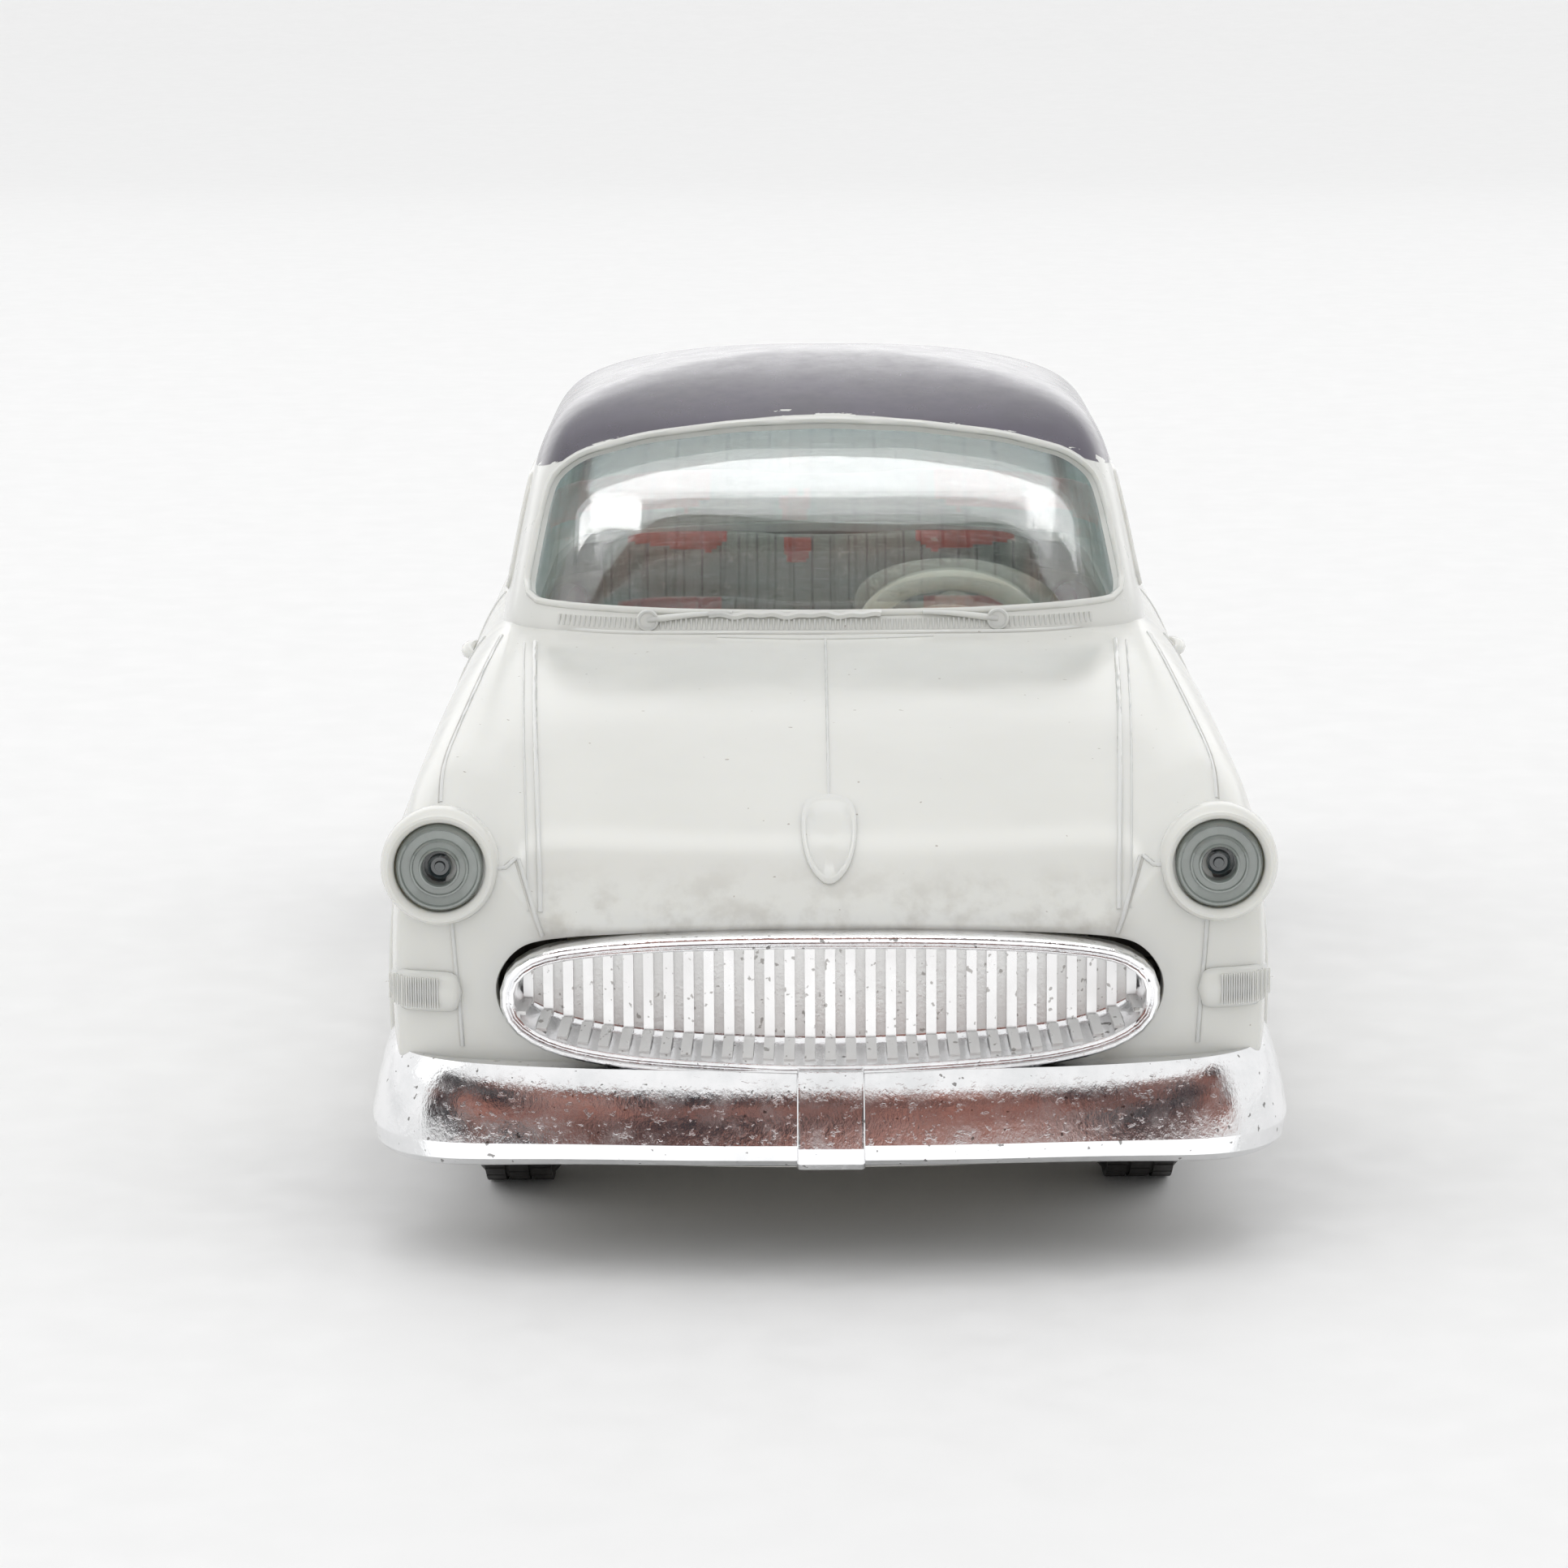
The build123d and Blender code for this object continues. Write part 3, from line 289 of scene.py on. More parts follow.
# ---------------------------------------------------------------- repeated parts
def repeat_tree():
    """Geometry Nodes that put a chamfered bar on every point, turned and stretched by its attributes."""
    tree = bpy.data.node_groups.get("bars_on_points")
    if tree:
        return tree
    tree = bpy.data.node_groups.new("bars_on_points", "GeometryNodeTree")
    face = tree.interface
    face.new_socket("Geometry", in_out="INPUT", socket_type="NodeSocketGeometry")
    face.new_socket("Sides", in_out="INPUT", socket_type="NodeSocketInt").default_value = 8
    face.new_socket("Swell", in_out="INPUT", socket_type="NodeSocketFloat").default_value = 1.0
    face.new_socket("Unevenness", in_out="INPUT", socket_type="NodeSocketFloat").default_value = 0.0
    face.new_socket("Seed", in_out="INPUT", socket_type="NodeSocketInt").default_value = 4
    face.new_socket("Material", in_out="INPUT", socket_type="NodeSocketMaterial")
    face.new_socket("Geometry", in_out="OUTPUT", socket_type="NodeSocketGeometry")
    new, link = tree.nodes.new, tree.links.new
    inputs, outputs = new("NodeGroupInput"), new("NodeGroupOutput")
    bar = new("GeometryNodeMeshCylinder")
    bar.inputs["Depth"].default_value = 1.0
    flats, half = new("ShaderNodeMath"), new("ShaderNodeMath")
    flats.operation, half.operation = "COSINE", "DIVIDE"
    half.inputs[0].default_value = 0.5  # flats one unit apart
    half_turn = new("ShaderNodeMath")
    half_turn.operation = "DIVIDE"
    half_turn.inputs[0].default_value = math.pi
    turn = new("ShaderNodeCombineXYZ")
    level = new("GeometryNodeTransform")
    to_points = new("GeometryNodeMeshToPoints")
    turns, sizes = new("GeometryNodeInputNamedAttribute"), new("GeometryNodeInputNamedAttribute")
    for node, name in ((turns, "turn"), (sizes, "stretch")):
        node.data_type = "FLOAT_VECTOR"
        node.inputs["Name"].default_value = name
    random = new("FunctionNodeRandomValue")
    low = new("ShaderNodeMath")
    low.operation = "SUBTRACT"
    low.inputs[0].default_value = 1.0
    swell, uneven = new("ShaderNodeVectorMath"), new("ShaderNodeVectorMath")
    swell.operation = uneven.operation = "SCALE"
    instances = new("GeometryNodeInstanceOnPoints")
    realize, dress = new("GeometryNodeRealizeInstances"), new("GeometryNodeSetMaterial")
    link(inputs.outputs["Sides"], bar.inputs["Vertices"])
    link(inputs.outputs["Sides"], half_turn.inputs[1])
    link(half_turn.outputs[0], turn.inputs["Z"])
    link(half_turn.outputs[0], flats.inputs[0])
    link(flats.outputs[0], half.inputs[1])
    link(half.outputs[0], bar.inputs["Radius"])
    link(bar.outputs["Mesh"], level.inputs["Geometry"])
    link(turn.outputs[0], level.inputs["Rotation"])
    link(inputs.outputs["Geometry"], to_points.inputs["Mesh"])
    link(to_points.outputs["Points"], instances.inputs["Points"])
    link(level.outputs["Geometry"], instances.inputs["Instance"])
    link(turns.outputs["Attribute"], instances.inputs["Rotation"])
    link(sizes.outputs["Attribute"], swell.inputs[0])
    link(inputs.outputs["Swell"], swell.inputs["Scale"])
    link(inputs.outputs["Unevenness"], low.inputs[1])
    link(low.outputs[0], random.inputs[2])  # lowest and highest of the decimal kind
    random.inputs[3].default_value = 1.0
    link(inputs.outputs["Seed"], random.inputs["Seed"])
    link(swell.outputs[0], uneven.inputs[0])
    link(random.outputs[1], uneven.inputs["Scale"])
    link(uneven.outputs[0], instances.inputs["Scale"])
    link(instances.outputs["Instances"], realize.inputs["Geometry"])
    link(realize.outputs["Geometry"], dress.inputs["Geometry"])
    link(inputs.outputs["Material"], dress.inputs["Material"])
    link(dress.outputs["Geometry"], outputs.inputs[0])
    return tree


def repeated(name, bars, material, sides=8, unevenness=0.0, angle=40):
    """Bars given as (middle, turn, size), each along its own Z, made by Geometry Nodes."""
    mesh = bpy.data.meshes.new(name)
    mesh.from_pydata([tuple(middle) for middle, _, _ in bars], [], [])
    for key, index in (("turn", 1), ("stretch", 2)):
        layer = mesh.attributes.new(key, "FLOAT_VECTOR", "POINT")
        layer.data.foreach_set("vector", [v for bar in bars for v in bar[index]])
    obj = bpy.data.objects.new(name, mesh)
    bpy.context.scene.collection.objects.link(obj)
    modifier = obj.modifiers.new("bars", "NODES")
    modifier.node_group = repeat_tree()
    sockets = {item.name: item.identifier for item in modifier.node_group.interface.items_tree}
    modifier[sockets["Sides"]] = sides
    modifier[sockets["Unevenness"]] = unevenness
    modifier[sockets["Material"]] = material
    return baked(obj, material, angle)


# ---------------------------------------------------------------- skins with openings
def cage_skin(name, rows, open_bottom, material, creases=()):
    """A subdivision surface over rows of half outlines, mirrored about the car's middle.

    Each row runs from the top middle round the left side to the bottom middle. open_bottom is the
    column below which the rows named in it have no faces, as (first row, last row, column).
    """
    bm = bmesh.new()
    rings = []
    for row in rows:
        full = row + [(-x, s, z) for x, s, z in reversed(row[1:-1])]
        rings.append([bm.verts.new(place(*p)) for p in full])
    count, half = len(rings[0]), len(rows[0]) - 1
    first, last, column = open_bottom
    for r in range(len(rings) - 1):
        for k in range(count):
            n = (k + 1) % count
            side = k if k < half else count - 1 - k
            if first <= r < last and side >= column:
                continue
            bm.faces.new((rings[r][k], rings[r + 1][k], rings[r + 1][n], rings[r][n]))
    bm.faces.new(rings[-1])
    bmesh.ops.recalc_face_normals(bm, faces=bm.faces)
    highest = max(bm.faces, key=lambda f: f.calc_center_median().z)
    if highest.normal.z < 0:
        bmesh.ops.reverse_faces(bm, faces=bm.faces)
    crease = bm.edges.layers.float.new("crease_edge")
    for row, weight in creases:
        ring = set(rings[row])
        for edge in bm.edges:
            if edge.verts[0] in ring and edge.verts[1] in ring:
                edge[crease] = weight
    mesh = bpy.data.meshes.new(name)
    bm.to_mesh(mesh)
    bm.free()
    obj = bpy.data.objects.new(name, mesh)
    bpy.context.scene.collection.objects.link(obj)
    subdivide = obj.modifiers.new("skin", "SUBSURF")
    subdivide.levels = subdivide.render_levels = 3
    return baked(obj, material)


def inside(points, outline):
    """Which of the points lie inside a closed outline, by the even-odd rule."""
    x, y = points[:, 0], points[:, 1]
    result = np.zeros(len(points), bool)
    for (x0, y0), (x1, y1) in zip(outline, outline[1:] + outline[:1]):
        if y0 == y1:
            continue
        crosses = (y0 > y) != (y1 > y)
        result ^= crosses & (x < (x1 - x0) * (y - y0) / (y1 - y0) + x0)
    return result


def nearest_on(outline, point):
    """The place on a closed outline that is nearest to a point."""
    best, where = 1e9, point
    for a, b in zip(outline, outline[1:] + outline[:1]):
        a, b = Vector(a), Vector(b)
        run = b - a
        t = max(0.0, min(1.0, (point - a).dot(run) / max(run.length_squared, 1e-12)))
        spot = a + run * t
        if (spot - point).length < best:
            best, where = (spot - point).length, spot
    return where


def surface_of(obj):
    """A skin's faces, ready for lines to be dropped on them."""
    return BVHTree.FromPolygons(
        [v.co for v in obj.data.vertices], [tuple(p.vertices) for p in obj.data.polygons]
    )


FAR = 0.3  # start of a dropped line, clear of the car
SNAP_REACH = 0.004  # an edge point that would move further than this stays
VIEWS = {  # axis that the outline is seen along, and the two axes it is drawn on
    "side": (0, (1, 2)),
    "end": (1, (0, 2)),
    "top": (2, (0, 1)),
}


def drop(surface, view, towards, spot):
    """The point where a spot drawn in a view lands on a surface. towards is the way of looking."""
    axis, plane = VIEWS[view]
    start, way = Vector((0, 0, 0)), Vector((0, 0, 0))
    start[plane[0]], start[plane[1]] = spot
    start[axis] = -towards * FAR
    way[axis] = towards
    return surface.ray_cast(start, way)[0]


def drawn(points, view):
    """Outline points in millimetres as frame coordinates in a view. The second view axis is z."""
    if view == "end":
        return [(x * MM, z * MM) for x, z in points]
    if view == "side":
        return [((s - LENGTH / 2) * MM, z * MM) for s, z in points]
    return [(x * MM, (s - LENGTH / 2) * MM) for x, s in points]


def open_skin(obj, surface, outline, view, towards):
    """Takes the faces inside an outline out of a skin and draws the ragged edge on to the outline."""
    axis, plane = VIEWS[view]
    bm = bmesh.new()
    bm.from_mesh(obj.data)
    bm.faces.ensure_lookup_table()
    centres = np.array([f.calc_center_median() for f in bm.faces])
    facing = np.array([f.normal[axis] * towards for f in bm.faces]) < 0
    cut = inside(centres[:, plane], outline) & facing
    gone = [f for f, out in zip(bm.faces, cut) if out]
    touched = {v for f in gone for v in f.verts}
    bmesh.ops.delete(bm, geom=gone, context="FACES")
    for vert in [v for v in touched if v.is_valid and v.is_boundary]:
        spot = nearest_on(outline, Vector((vert.co[plane[0]], vert.co[plane[1]])))
        hit = drop(surface, view, towards, spot)
        if hit is not None and (hit - vert.co).length < SNAP_REACH:
            vert.co = hit
    bm.to_mesh(obj.data)
    bm.free()


def thickened(obj, wall, material, angle=32):
    """Gives a skin its wall, inwards."""
    solid = obj.modifiers.new("wall", "SOLIDIFY")
    solid.thickness, solid.offset = wall, -1.0
    return baked(obj, material, angle)


def raised_line(name, surface, points, view, towards, radius, material, lift=0.0, closed=False, gap=1.2):
    """A thin moulded line laid on a surface."""
    line = []
    for spot in spaced(drawn(points, view), gap * MM, closed):
        hit = drop(surface, view, towards, spot)
        if hit is not None:
            line.append(hit + Vector((0, 0, lift)))
    return tube(name, line, radius, material, closed=closed, sides=6)


# ---------------------------------------------------------------- finishes
class Shader:
    """A Principled material with helpers that wire its detail."""

    def __init__(self, name, **sockets):
        """A material of one Principled surface, with constant numbers on its own sockets."""
        self.material = bpy.data.materials.new(name)
        self.material.use_nodes = True
        self.nodes = self.material.node_tree.nodes
        self.link = self.material.node_tree.links.new
        self.bsdf = self.nodes["Principled BSDF"]
        for key, value in sockets.items():
            self.bsdf.inputs[key.replace("_", " ")].default_value = value
        self.where = self.nodes.new("ShaderNodeTexCoord").outputs["Object"]

    def noise(self, scale, detail=4.0, stretch=(1, 1, 1), rough=0.6):
        """Cloudy noise, finer with scale and drawn out where stretch is small."""
        node = self.nodes.new("ShaderNodeTexNoise")
        node.inputs["Scale"].default_value = scale
        node.inputs["Detail"].default_value = detail
        node.inputs["Roughness"].default_value = rough
        mapping = self.nodes.new("ShaderNodeMapping")
        mapping.inputs["Scale"].default_value = stretch
        self.link(self.where, mapping.inputs["Vector"])
        self.link(mapping.outputs["Vector"], node.inputs["Vector"])
        return node.outputs["Fac"]

    def ramp(self, value, low, high, out_low=0.0, out_high=1.0):
        """A smooth step from out_low to out_high while value goes from low to high."""
        node = self.nodes.new("ShaderNodeMapRange")
        node.interpolation_type = "SMOOTHSTEP"
        for key, number in zip(("From Min", "From Max", "To Min", "To Max"), (low, high, out_low, out_high)):
            node.inputs[key].default_value = number
        self.link(value, node.inputs["Value"])
        return node.outputs["Result"]

    def maths(self, operation, a, b=0.0):
        """One sum of two sockets or numbers."""
        node = self.nodes.new("ShaderNodeMath")
        node.operation = operation
        for socket, value in zip(node.inputs, (a, b)):
            if isinstance(value, (int, float)):
                socket.default_value = value
            else:
                self.link(value, socket)
        return node.outputs[0]

    def axis(self, letter):
        """One coordinate in the frame, in metres."""
        node = self.nodes.new("ShaderNodeSeparateXYZ")
        self.link(self.where, node.inputs[0])
        return node.outputs[letter]

    def mix(self, factor, a, b):
        """Colour a turning into b as factor goes from 0 to 1."""
        node = self.nodes.new("ShaderNodeMix")
        node.data_type = "RGBA"
        self.link(factor, node.inputs["Factor"])
        for key, value in (("A", a), ("B", b)):
            socket = [s for s in node.inputs if s.name == key and s.type == "RGBA"][0]
            if isinstance(value, (tuple, list)):
                socket.default_value = (*value[:3], 1.0)
            else:
                self.link(value, socket)
        return [s for s in node.outputs if s.type == "RGBA"][0]

    def colour(self, value):
        """Base colour, from a socket or a constant."""
        self.link(value, self.bsdf.inputs["Base Color"])

    def roughness(self, value):
        """Roughness, from a socket or a constant."""
        self.link(value, self.bsdf.inputs["Roughness"])

    def bump(self, height, strength, distance):
        """Relief, laid over any relief already there."""
        node = self.nodes.new("ShaderNodeBump")
        node.inputs["Strength"].default_value = strength
        node.inputs["Distance"].default_value = distance
        self.link(height, node.inputs["Height"])
        previous = self.bsdf.inputs["Normal"].links
        if previous:
            self.link(previous[0].from_socket, node.inputs["Normal"])
        self.link(node.outputs["Normal"], self.bsdf.inputs["Normal"])


def shade(colour, factor):
    """A colour made darker or lighter."""
    return tuple(c * factor for c in colour[:3])


def worn(name, colour, rough, grain=900.0, depth=0.00003, spread=0.10, **sockets):
    """A finish with faint blotches, uneven gloss and a fine grain."""
    s = Shader(name, **sockets)
    blotch = s.ramp(s.noise(60.0), 0.35, 0.7)
    s.colour(s.mix(blotch, shade(colour, 1 - spread), colour))
    s.roughness(s.ramp(s.noise(140.0), 0.3, 0.75, rough * 0.75, rough * 1.35))
    s.bump(s.noise(grain, 3.0), 0.35, depth)
    return s


def cream_plastic(finishes):
    """Glossy, slightly translucent moulding, greyed in patches on the nose, most at the bonnet's lip over the
    grille.
    """
    s = Shader(
        "cream_plastic",
        Subsurface_Weight=0.22,
        Subsurface_Radius=(0.004, 0.0035, 0.0025),
        Subsurface_Scale=0.6,
        Specular_IOR_Level=0.3,
    )
    colour = tuple(finishes.body_colour)
    cloud = s.ramp(s.noise(45.0), 0.3, 0.75)
    base = s.mix(cloud, shade(colour, 0.965), colour)
    # grey in patches on the nose, growing towards the lip over the grille
    low_nose = s.maths("MULTIPLY", s.ramp(s.axis("Z"), 0.0405, 0.0335), s.ramp(s.axis("Y"), -0.104, -0.1085))
    middle = s.ramp(s.maths("ABSOLUTE", s.axis("X")), 0.030, 0.026)
    patches = s.ramp(s.noise(240.0, 7.0), 0.40, 0.66)
    grime = s.maths("MULTIPLY", s.maths("MULTIPLY", low_nose, middle), patches)
    base = s.mix(s.maths("MULTIPLY", grime, 0.5), base, (0.44, 0.42, 0.38))
    specks = s.ramp(s.noise(1500.0, 1.0, rough=0.2), 0.81, 0.84)
    base = s.mix(s.maths("MULTIPLY", specks, 0.6), base, (0.25, 0.2, 0.16))
    s.colour(base)
    s.roughness(s.ramp(s.noise(90.0), 0.3, 0.75, 0.13, 0.24))
    s.bump(s.noise(40.0, 2.0), 0.08, 0.0004)
    s.bump(s.noise(1800.0, 2.0), 0.06, 0.00002)
    return s.material


def roof_finish(finishes):
    """The same moulding with dark paint over the roof, chipped along the paint's edge."""
    s = Shader(
        "roof_paint",
        Subsurface_Weight=0.05,
        Subsurface_Scale=0.5,
        Specular_IOR_Level=0.25,
        Coat_Weight=0.8,
        Coat_IOR=1.55,
        Coat_Roughness=0.15,
    )
    cream, paint = tuple(finishes.body_colour), tuple(finishes.roof_colour)
    across = s.maths("MULTIPLY", s.axis("X"), s.axis("X"))
    edge = s.maths("SUBTRACT", PAINT_TOP * MM, s.maths("MULTIPLY", across, PAINT_FALL / MM))
    above = s.maths("SUBTRACT", s.axis("Z"), edge)
    front = s.ramp(s.axis("Y"), -0.004, -0.012)
    chips = s.maths("MULTIPLY", s.maths("SUBTRACT", s.noise(420.0, 5.0, (0.35, 1, 1.6)), 0.56), 0.010)
    chips = s.maths("MAXIMUM", s.maths("MINIMUM", chips, 0.0006), -0.0001)
    chips = s.maths("MULTIPLY", chips, s.maths("ADD", front, 0.12))
    mask = s.ramp(s.maths("SUBTRACT", above, chips), -0.00006, 0.00006)
    violet = s.mix(s.ramp(s.noise(70.0), 0.35, 0.7), shade(paint, 0.8), shade(paint, 1.15))
    s.colour(s.mix(mask, shade(cream, 0.94), violet))
    s.roughness(s.ramp(s.noise(300.0, 5.0), 0.3, 0.75, 0.26, 0.40))
    s.bump(s.noise(700.0, 4.0), 0.12, 0.00003)
    s.bump(mask, 0.35, 0.00006)
    return s.material


def plating():
    """Vacuum plating over moulded plastic: bright, grainy, scratched and speckled where it has gone."""
    tone, rough = 0.92, 0.07
    s = Shader("plating", Metallic=1.0)
    haze = s.ramp(s.noise(160.0, 6.0), 0.35, 0.72)
    base = s.mix(haze, (tone, tone, tone * 1.01), (tone * 0.86, tone * 0.87, tone * 0.88))
    pits = s.ramp(s.noise(1300.0, 2.0, rough=0.4), 0.70, 0.74)
    s.colour(s.mix(s.maths("MULTIPLY", pits, 0.75), base, (0.10, 0.09, 0.08)))
    s.roughness(s.ramp(s.noise(420.0, 6.0), 0.35, 0.75, rough, rough + 0.16))
    s.bump(s.noise(2600.0, 4.0, (1, 1, 0.6)), 0.75, 0.00003)
    s.bump(s.ramp(s.noise(1100.0, 6.0, (1, 1, 1.6)), 0.58, 0.68), 0.25, 0.00003)
    return s.material


def dull_plating(name, colour, metal, depth):
    """Plating gone satin in the grille: grainy and pitted, with the plastic's paleness showing."""
    s = worn(name, colour, 0.34, grain=2400.0, depth=depth, spread=0.06, Metallic=metal)
    pits = s.ramp(s.noise(1500.0, 2.0, rough=0.4), 0.66, 0.72)
    base = s.bsdf.inputs["Base Color"].links[0].from_socket
    s.colour(s.mix(s.maths("MULTIPLY", pits, 0.6), base, (0.16, 0.14, 0.12)))
    return s.material


def clear_plastic(finishes):
    """Old clear moulding: faintly green in its thickness, with flow marks and dust."""
    s = Shader(
        "clear_plastic",
        Transmission_Weight=1.0,
        IOR=1.5,
        Alpha=0.5,
        Coat_Weight=0.6,
        Coat_IOR=1.55,
        Coat_Roughness=0.08,
    )
    tint = tuple(finishes.glass_colour)
    facing = s.nodes.new("ShaderNodeLayerWeight")
    facing.inputs["Blend"].default_value = 0.4
    clear = s.mix(s.ramp(s.noise(80.0), 0.3, 0.8), shade(tint, 0.97), tint)
    s.colour(s.mix(s.ramp(facing.outputs["Facing"], 0.25, 0.70), clear, (0.16, 0.58, 0.64)))
    s.roughness(s.ramp(s.noise(120.0, 5.0, (1, 1, 6)), 0.35, 0.75, 0.0, 0.03))
    ripple = s.nodes.new("ShaderNodeBump")
    ripple.inputs["Strength"].default_value = 0.30
    ripple.inputs["Distance"].default_value = 0.0005
    s.link(s.noise(260.0, 5.0, (0.35, 3, 3)), ripple.inputs["Height"])
    s.link(ripple.outputs["Normal"], s.bsdf.inputs["Coat Normal"])
    return s.material


def lens_plastic(name, colour, rough=0.08, through=0.4):
    """Tinted see-through moulding with a hard gloss. through is the share of light that passes."""
    s = Shader(
        name, Transmission_Weight=through, IOR=1.5, Coat_Weight=1.0, Coat_IOR=1.7, Coat_Roughness=0.04
    )
    s.colour(s.mix(s.ramp(s.noise(200.0), 0.3, 0.8), shade(colour, 0.75), colour))
    s.roughness(s.ramp(s.noise(500.0), 0.3, 0.8, rough * 0.6, rough * 2))
    s.bump(s.noise(900.0), 0.10, 0.00003)
    return s.material


def seat_print(finishes, name, red):
    """Tinplate printed with pleats: pale bands with dark gaps, scuffed."""
    s = Shader(name, Coat_Weight=0.3, Coat_Roughness=0.15)
    colour = tuple(finishes.seat_red if red else finishes.seat_colour)
    base = s.mix(s.ramp(s.noise(110.0), 0.3, 0.75), shade(colour, 0.7), colour)
    band = s.maths("FRACT", s.maths("ADD", s.maths("MULTIPLY", s.axis("X"), 1 / (PLEAT * MM)), 100.5))
    gap = s.ramp(s.maths("ABSOLUTE", s.maths("SUBTRACT", band, 0.5)), 0.40, 0.46)
    base = s.mix(s.maths("MULTIPLY", gap, 0.2 if red else 0.75), base, (0.035, 0.04, 0.035))
    scuffs = s.ramp(s.noise(600.0, 6.0), 0.62, 0.68)
    s.colour(s.mix(s.maths("MULTIPLY", scuffs, 0.5), base, (0.62, 0.6, 0.5)))
    s.roughness(s.ramp(s.noise(300.0), 0.3, 0.75, 0.25, 0.5))
    s.bump(s.noise(900.0), 0.2, 0.00003)
    return s.material


def floor_print():
    """Lithographed floor: dark mat with a fine weave of lines."""
    s = Shader("printed_floor", Coat_Weight=0.25)
    wave = s.nodes.new("ShaderNodeTexWave")
    wave.inputs["Scale"].default_value = 260.0
    wave.inputs["Distortion"].default_value = 1.5
    s.link(s.where, wave.inputs["Vector"])
    s.colour(s.mix(s.ramp(wave.outputs["Fac"], 0.3, 0.7), (0.10, 0.10, 0.09), (0.22, 0.22, 0.19)))
    s.roughness(s.ramp(s.noise(260.0), 0.3, 0.75, 0.3, 0.55))
    s.bump(s.noise(800.0), 0.2, 0.00003)
    return s.material


def rubber():
    """Black rubber with dust in its grain."""
    s = worn("black_rubber", (0.022, 0.021, 0.020), 0.62, grain=1400.0, depth=0.00008, spread=0.3)
    dust = s.ramp(s.noise(200.0, 6.0), 0.55, 0.8)
    base = s.bsdf.inputs["Base Color"].links[0].from_socket
    s.colour(s.mix(s.maths("MULTIPLY", dust, 0.35), base, (0.16, 0.15, 0.13)))
    return s.material


def brushed(name, colour, rough):
    """Bare metal with fine marks along the axles' way."""
    s = Shader(name, Metallic=1.0)
    s.colour(s.mix(s.ramp(s.noise(220.0, 6.0), 0.4, 0.75), shade(colour, 0.6), colour))
    s.roughness(s.ramp(s.noise(300.0, 4.0, (6, 1, 1)), 0.3, 0.75, rough * 0.7, rough * 1.5))
    s.bump(s.noise(1500.0, 2.0, (8, 1, 1)), 0.3, 0.00002)
    return s.material


def tinplate():
    """Lacquered tin base with a golden bloom and dull spots."""
    s = Shader("tin_lacquer", Metallic=0.9)
    bloom = s.ramp(s.noise(70.0, 5.0), 0.35, 0.7)
    base = s.mix(bloom, (0.50, 0.50, 0.48), (0.56, 0.50, 0.40))
    spots = s.ramp(s.noise(420.0, 6.0), 0.66, 0.72)
    s.colour(s.mix(s.maths("MULTIPLY", spots, 0.7), base, (0.16, 0.12, 0.08)))
    s.roughness(s.ramp(s.noise(200.0), 0.3, 0.75, 0.28, 0.5))
    s.bump(s.noise(1200.0), 0.2, 0.00003)
    return s.material


PAINT_TOP = 72.75  # height of the roof paint's edge at the middle of the screens
PAINT_FALL = 0.0057  # how fast that edge falls towards the sides
PLEAT = 2.3  # width of a seat's pleat
FINISHES = {}


def make_finishes(finishes):
    """Every finish, and the frame's own parts dressed in them."""
    steel_tone, brass_tone = (0.56, 0.56, 0.55), (0.72, 0.55, 0.27)
    FINISHES.update(
        cream=cream_plastic(finishes),
        roof=roof_finish(finishes),
        chrome=plating(),
        grille=dull_plating("plating_dull", (0.80, 0.80, 0.79), 0.5, 0.00010),
        chrome_soft=dull_plating("plating_bars", (0.93, 0.93, 0.93), 0.75, 0.00003),
        clear=clear_plastic(finishes),
        lens=lens_plastic("grey_lens", tuple(finishes.lens_colour)),
        # near-black: the painted shade inside each headlight lens's hole
        lens_dark=lens_plastic("painted_hole_shade", (0.035, 0.05, 0.055), 0.06, 0.1),
        red_lens=lens_plastic("red_lens", (0.55, 0.02, 0.015)),
        ivory=worn("ivory_plastic", (0.92, 0.87, 0.72), 0.28, Subsurface_Weight=0.15).material,
        seat=seat_print(finishes, "seat_print", False),
        seat_red=seat_print(finishes, "seat_print_red", True),
        floor=floor_print(),
        rubber=rubber(),
        rim=worn("rim_plastic", (0.60, 0.60, 0.58), 0.3, Metallic=0.35).material,
        steel=brushed("zinc_steel", steel_tone, 0.32),
        brass=brushed("turned_brass", brass_tone, 0.25),
        gear=worn("gear_nylon", (0.72, 0.69, 0.60), 0.45, Subsurface_Weight=0.1).material,
        tin=tinplate(),
        # grey of the painted shade laid beside the seams
        grime=worn("seam_grime", (0.64, 0.63, 0.59), 0.5, spread=0.3).material,
    )
    by_slot = {
        "body": "cream",
        "clear": "clear",
        "plating": "chrome",
        "fitting": "ivory",
        "tin_floor": "floor",
        "seat_tin": "seat",
        "tin_base": "tin",
        "steel": "steel",
        "lens": "lens",
        "red_lens": "red_lens",
        "rubber": "rubber",
        "rim": "rim",
        "gear": "gear",
        "brass": "brass",
    }
    slots = {part["node"]: part["material_slot"] for part in frame["record"]["subparts"]}
    for node, obj in frame["nodes"].items():
        obj.data.materials.clear()
        obj.data.materials.append(FINISHES[by_slot[slots[node]]])


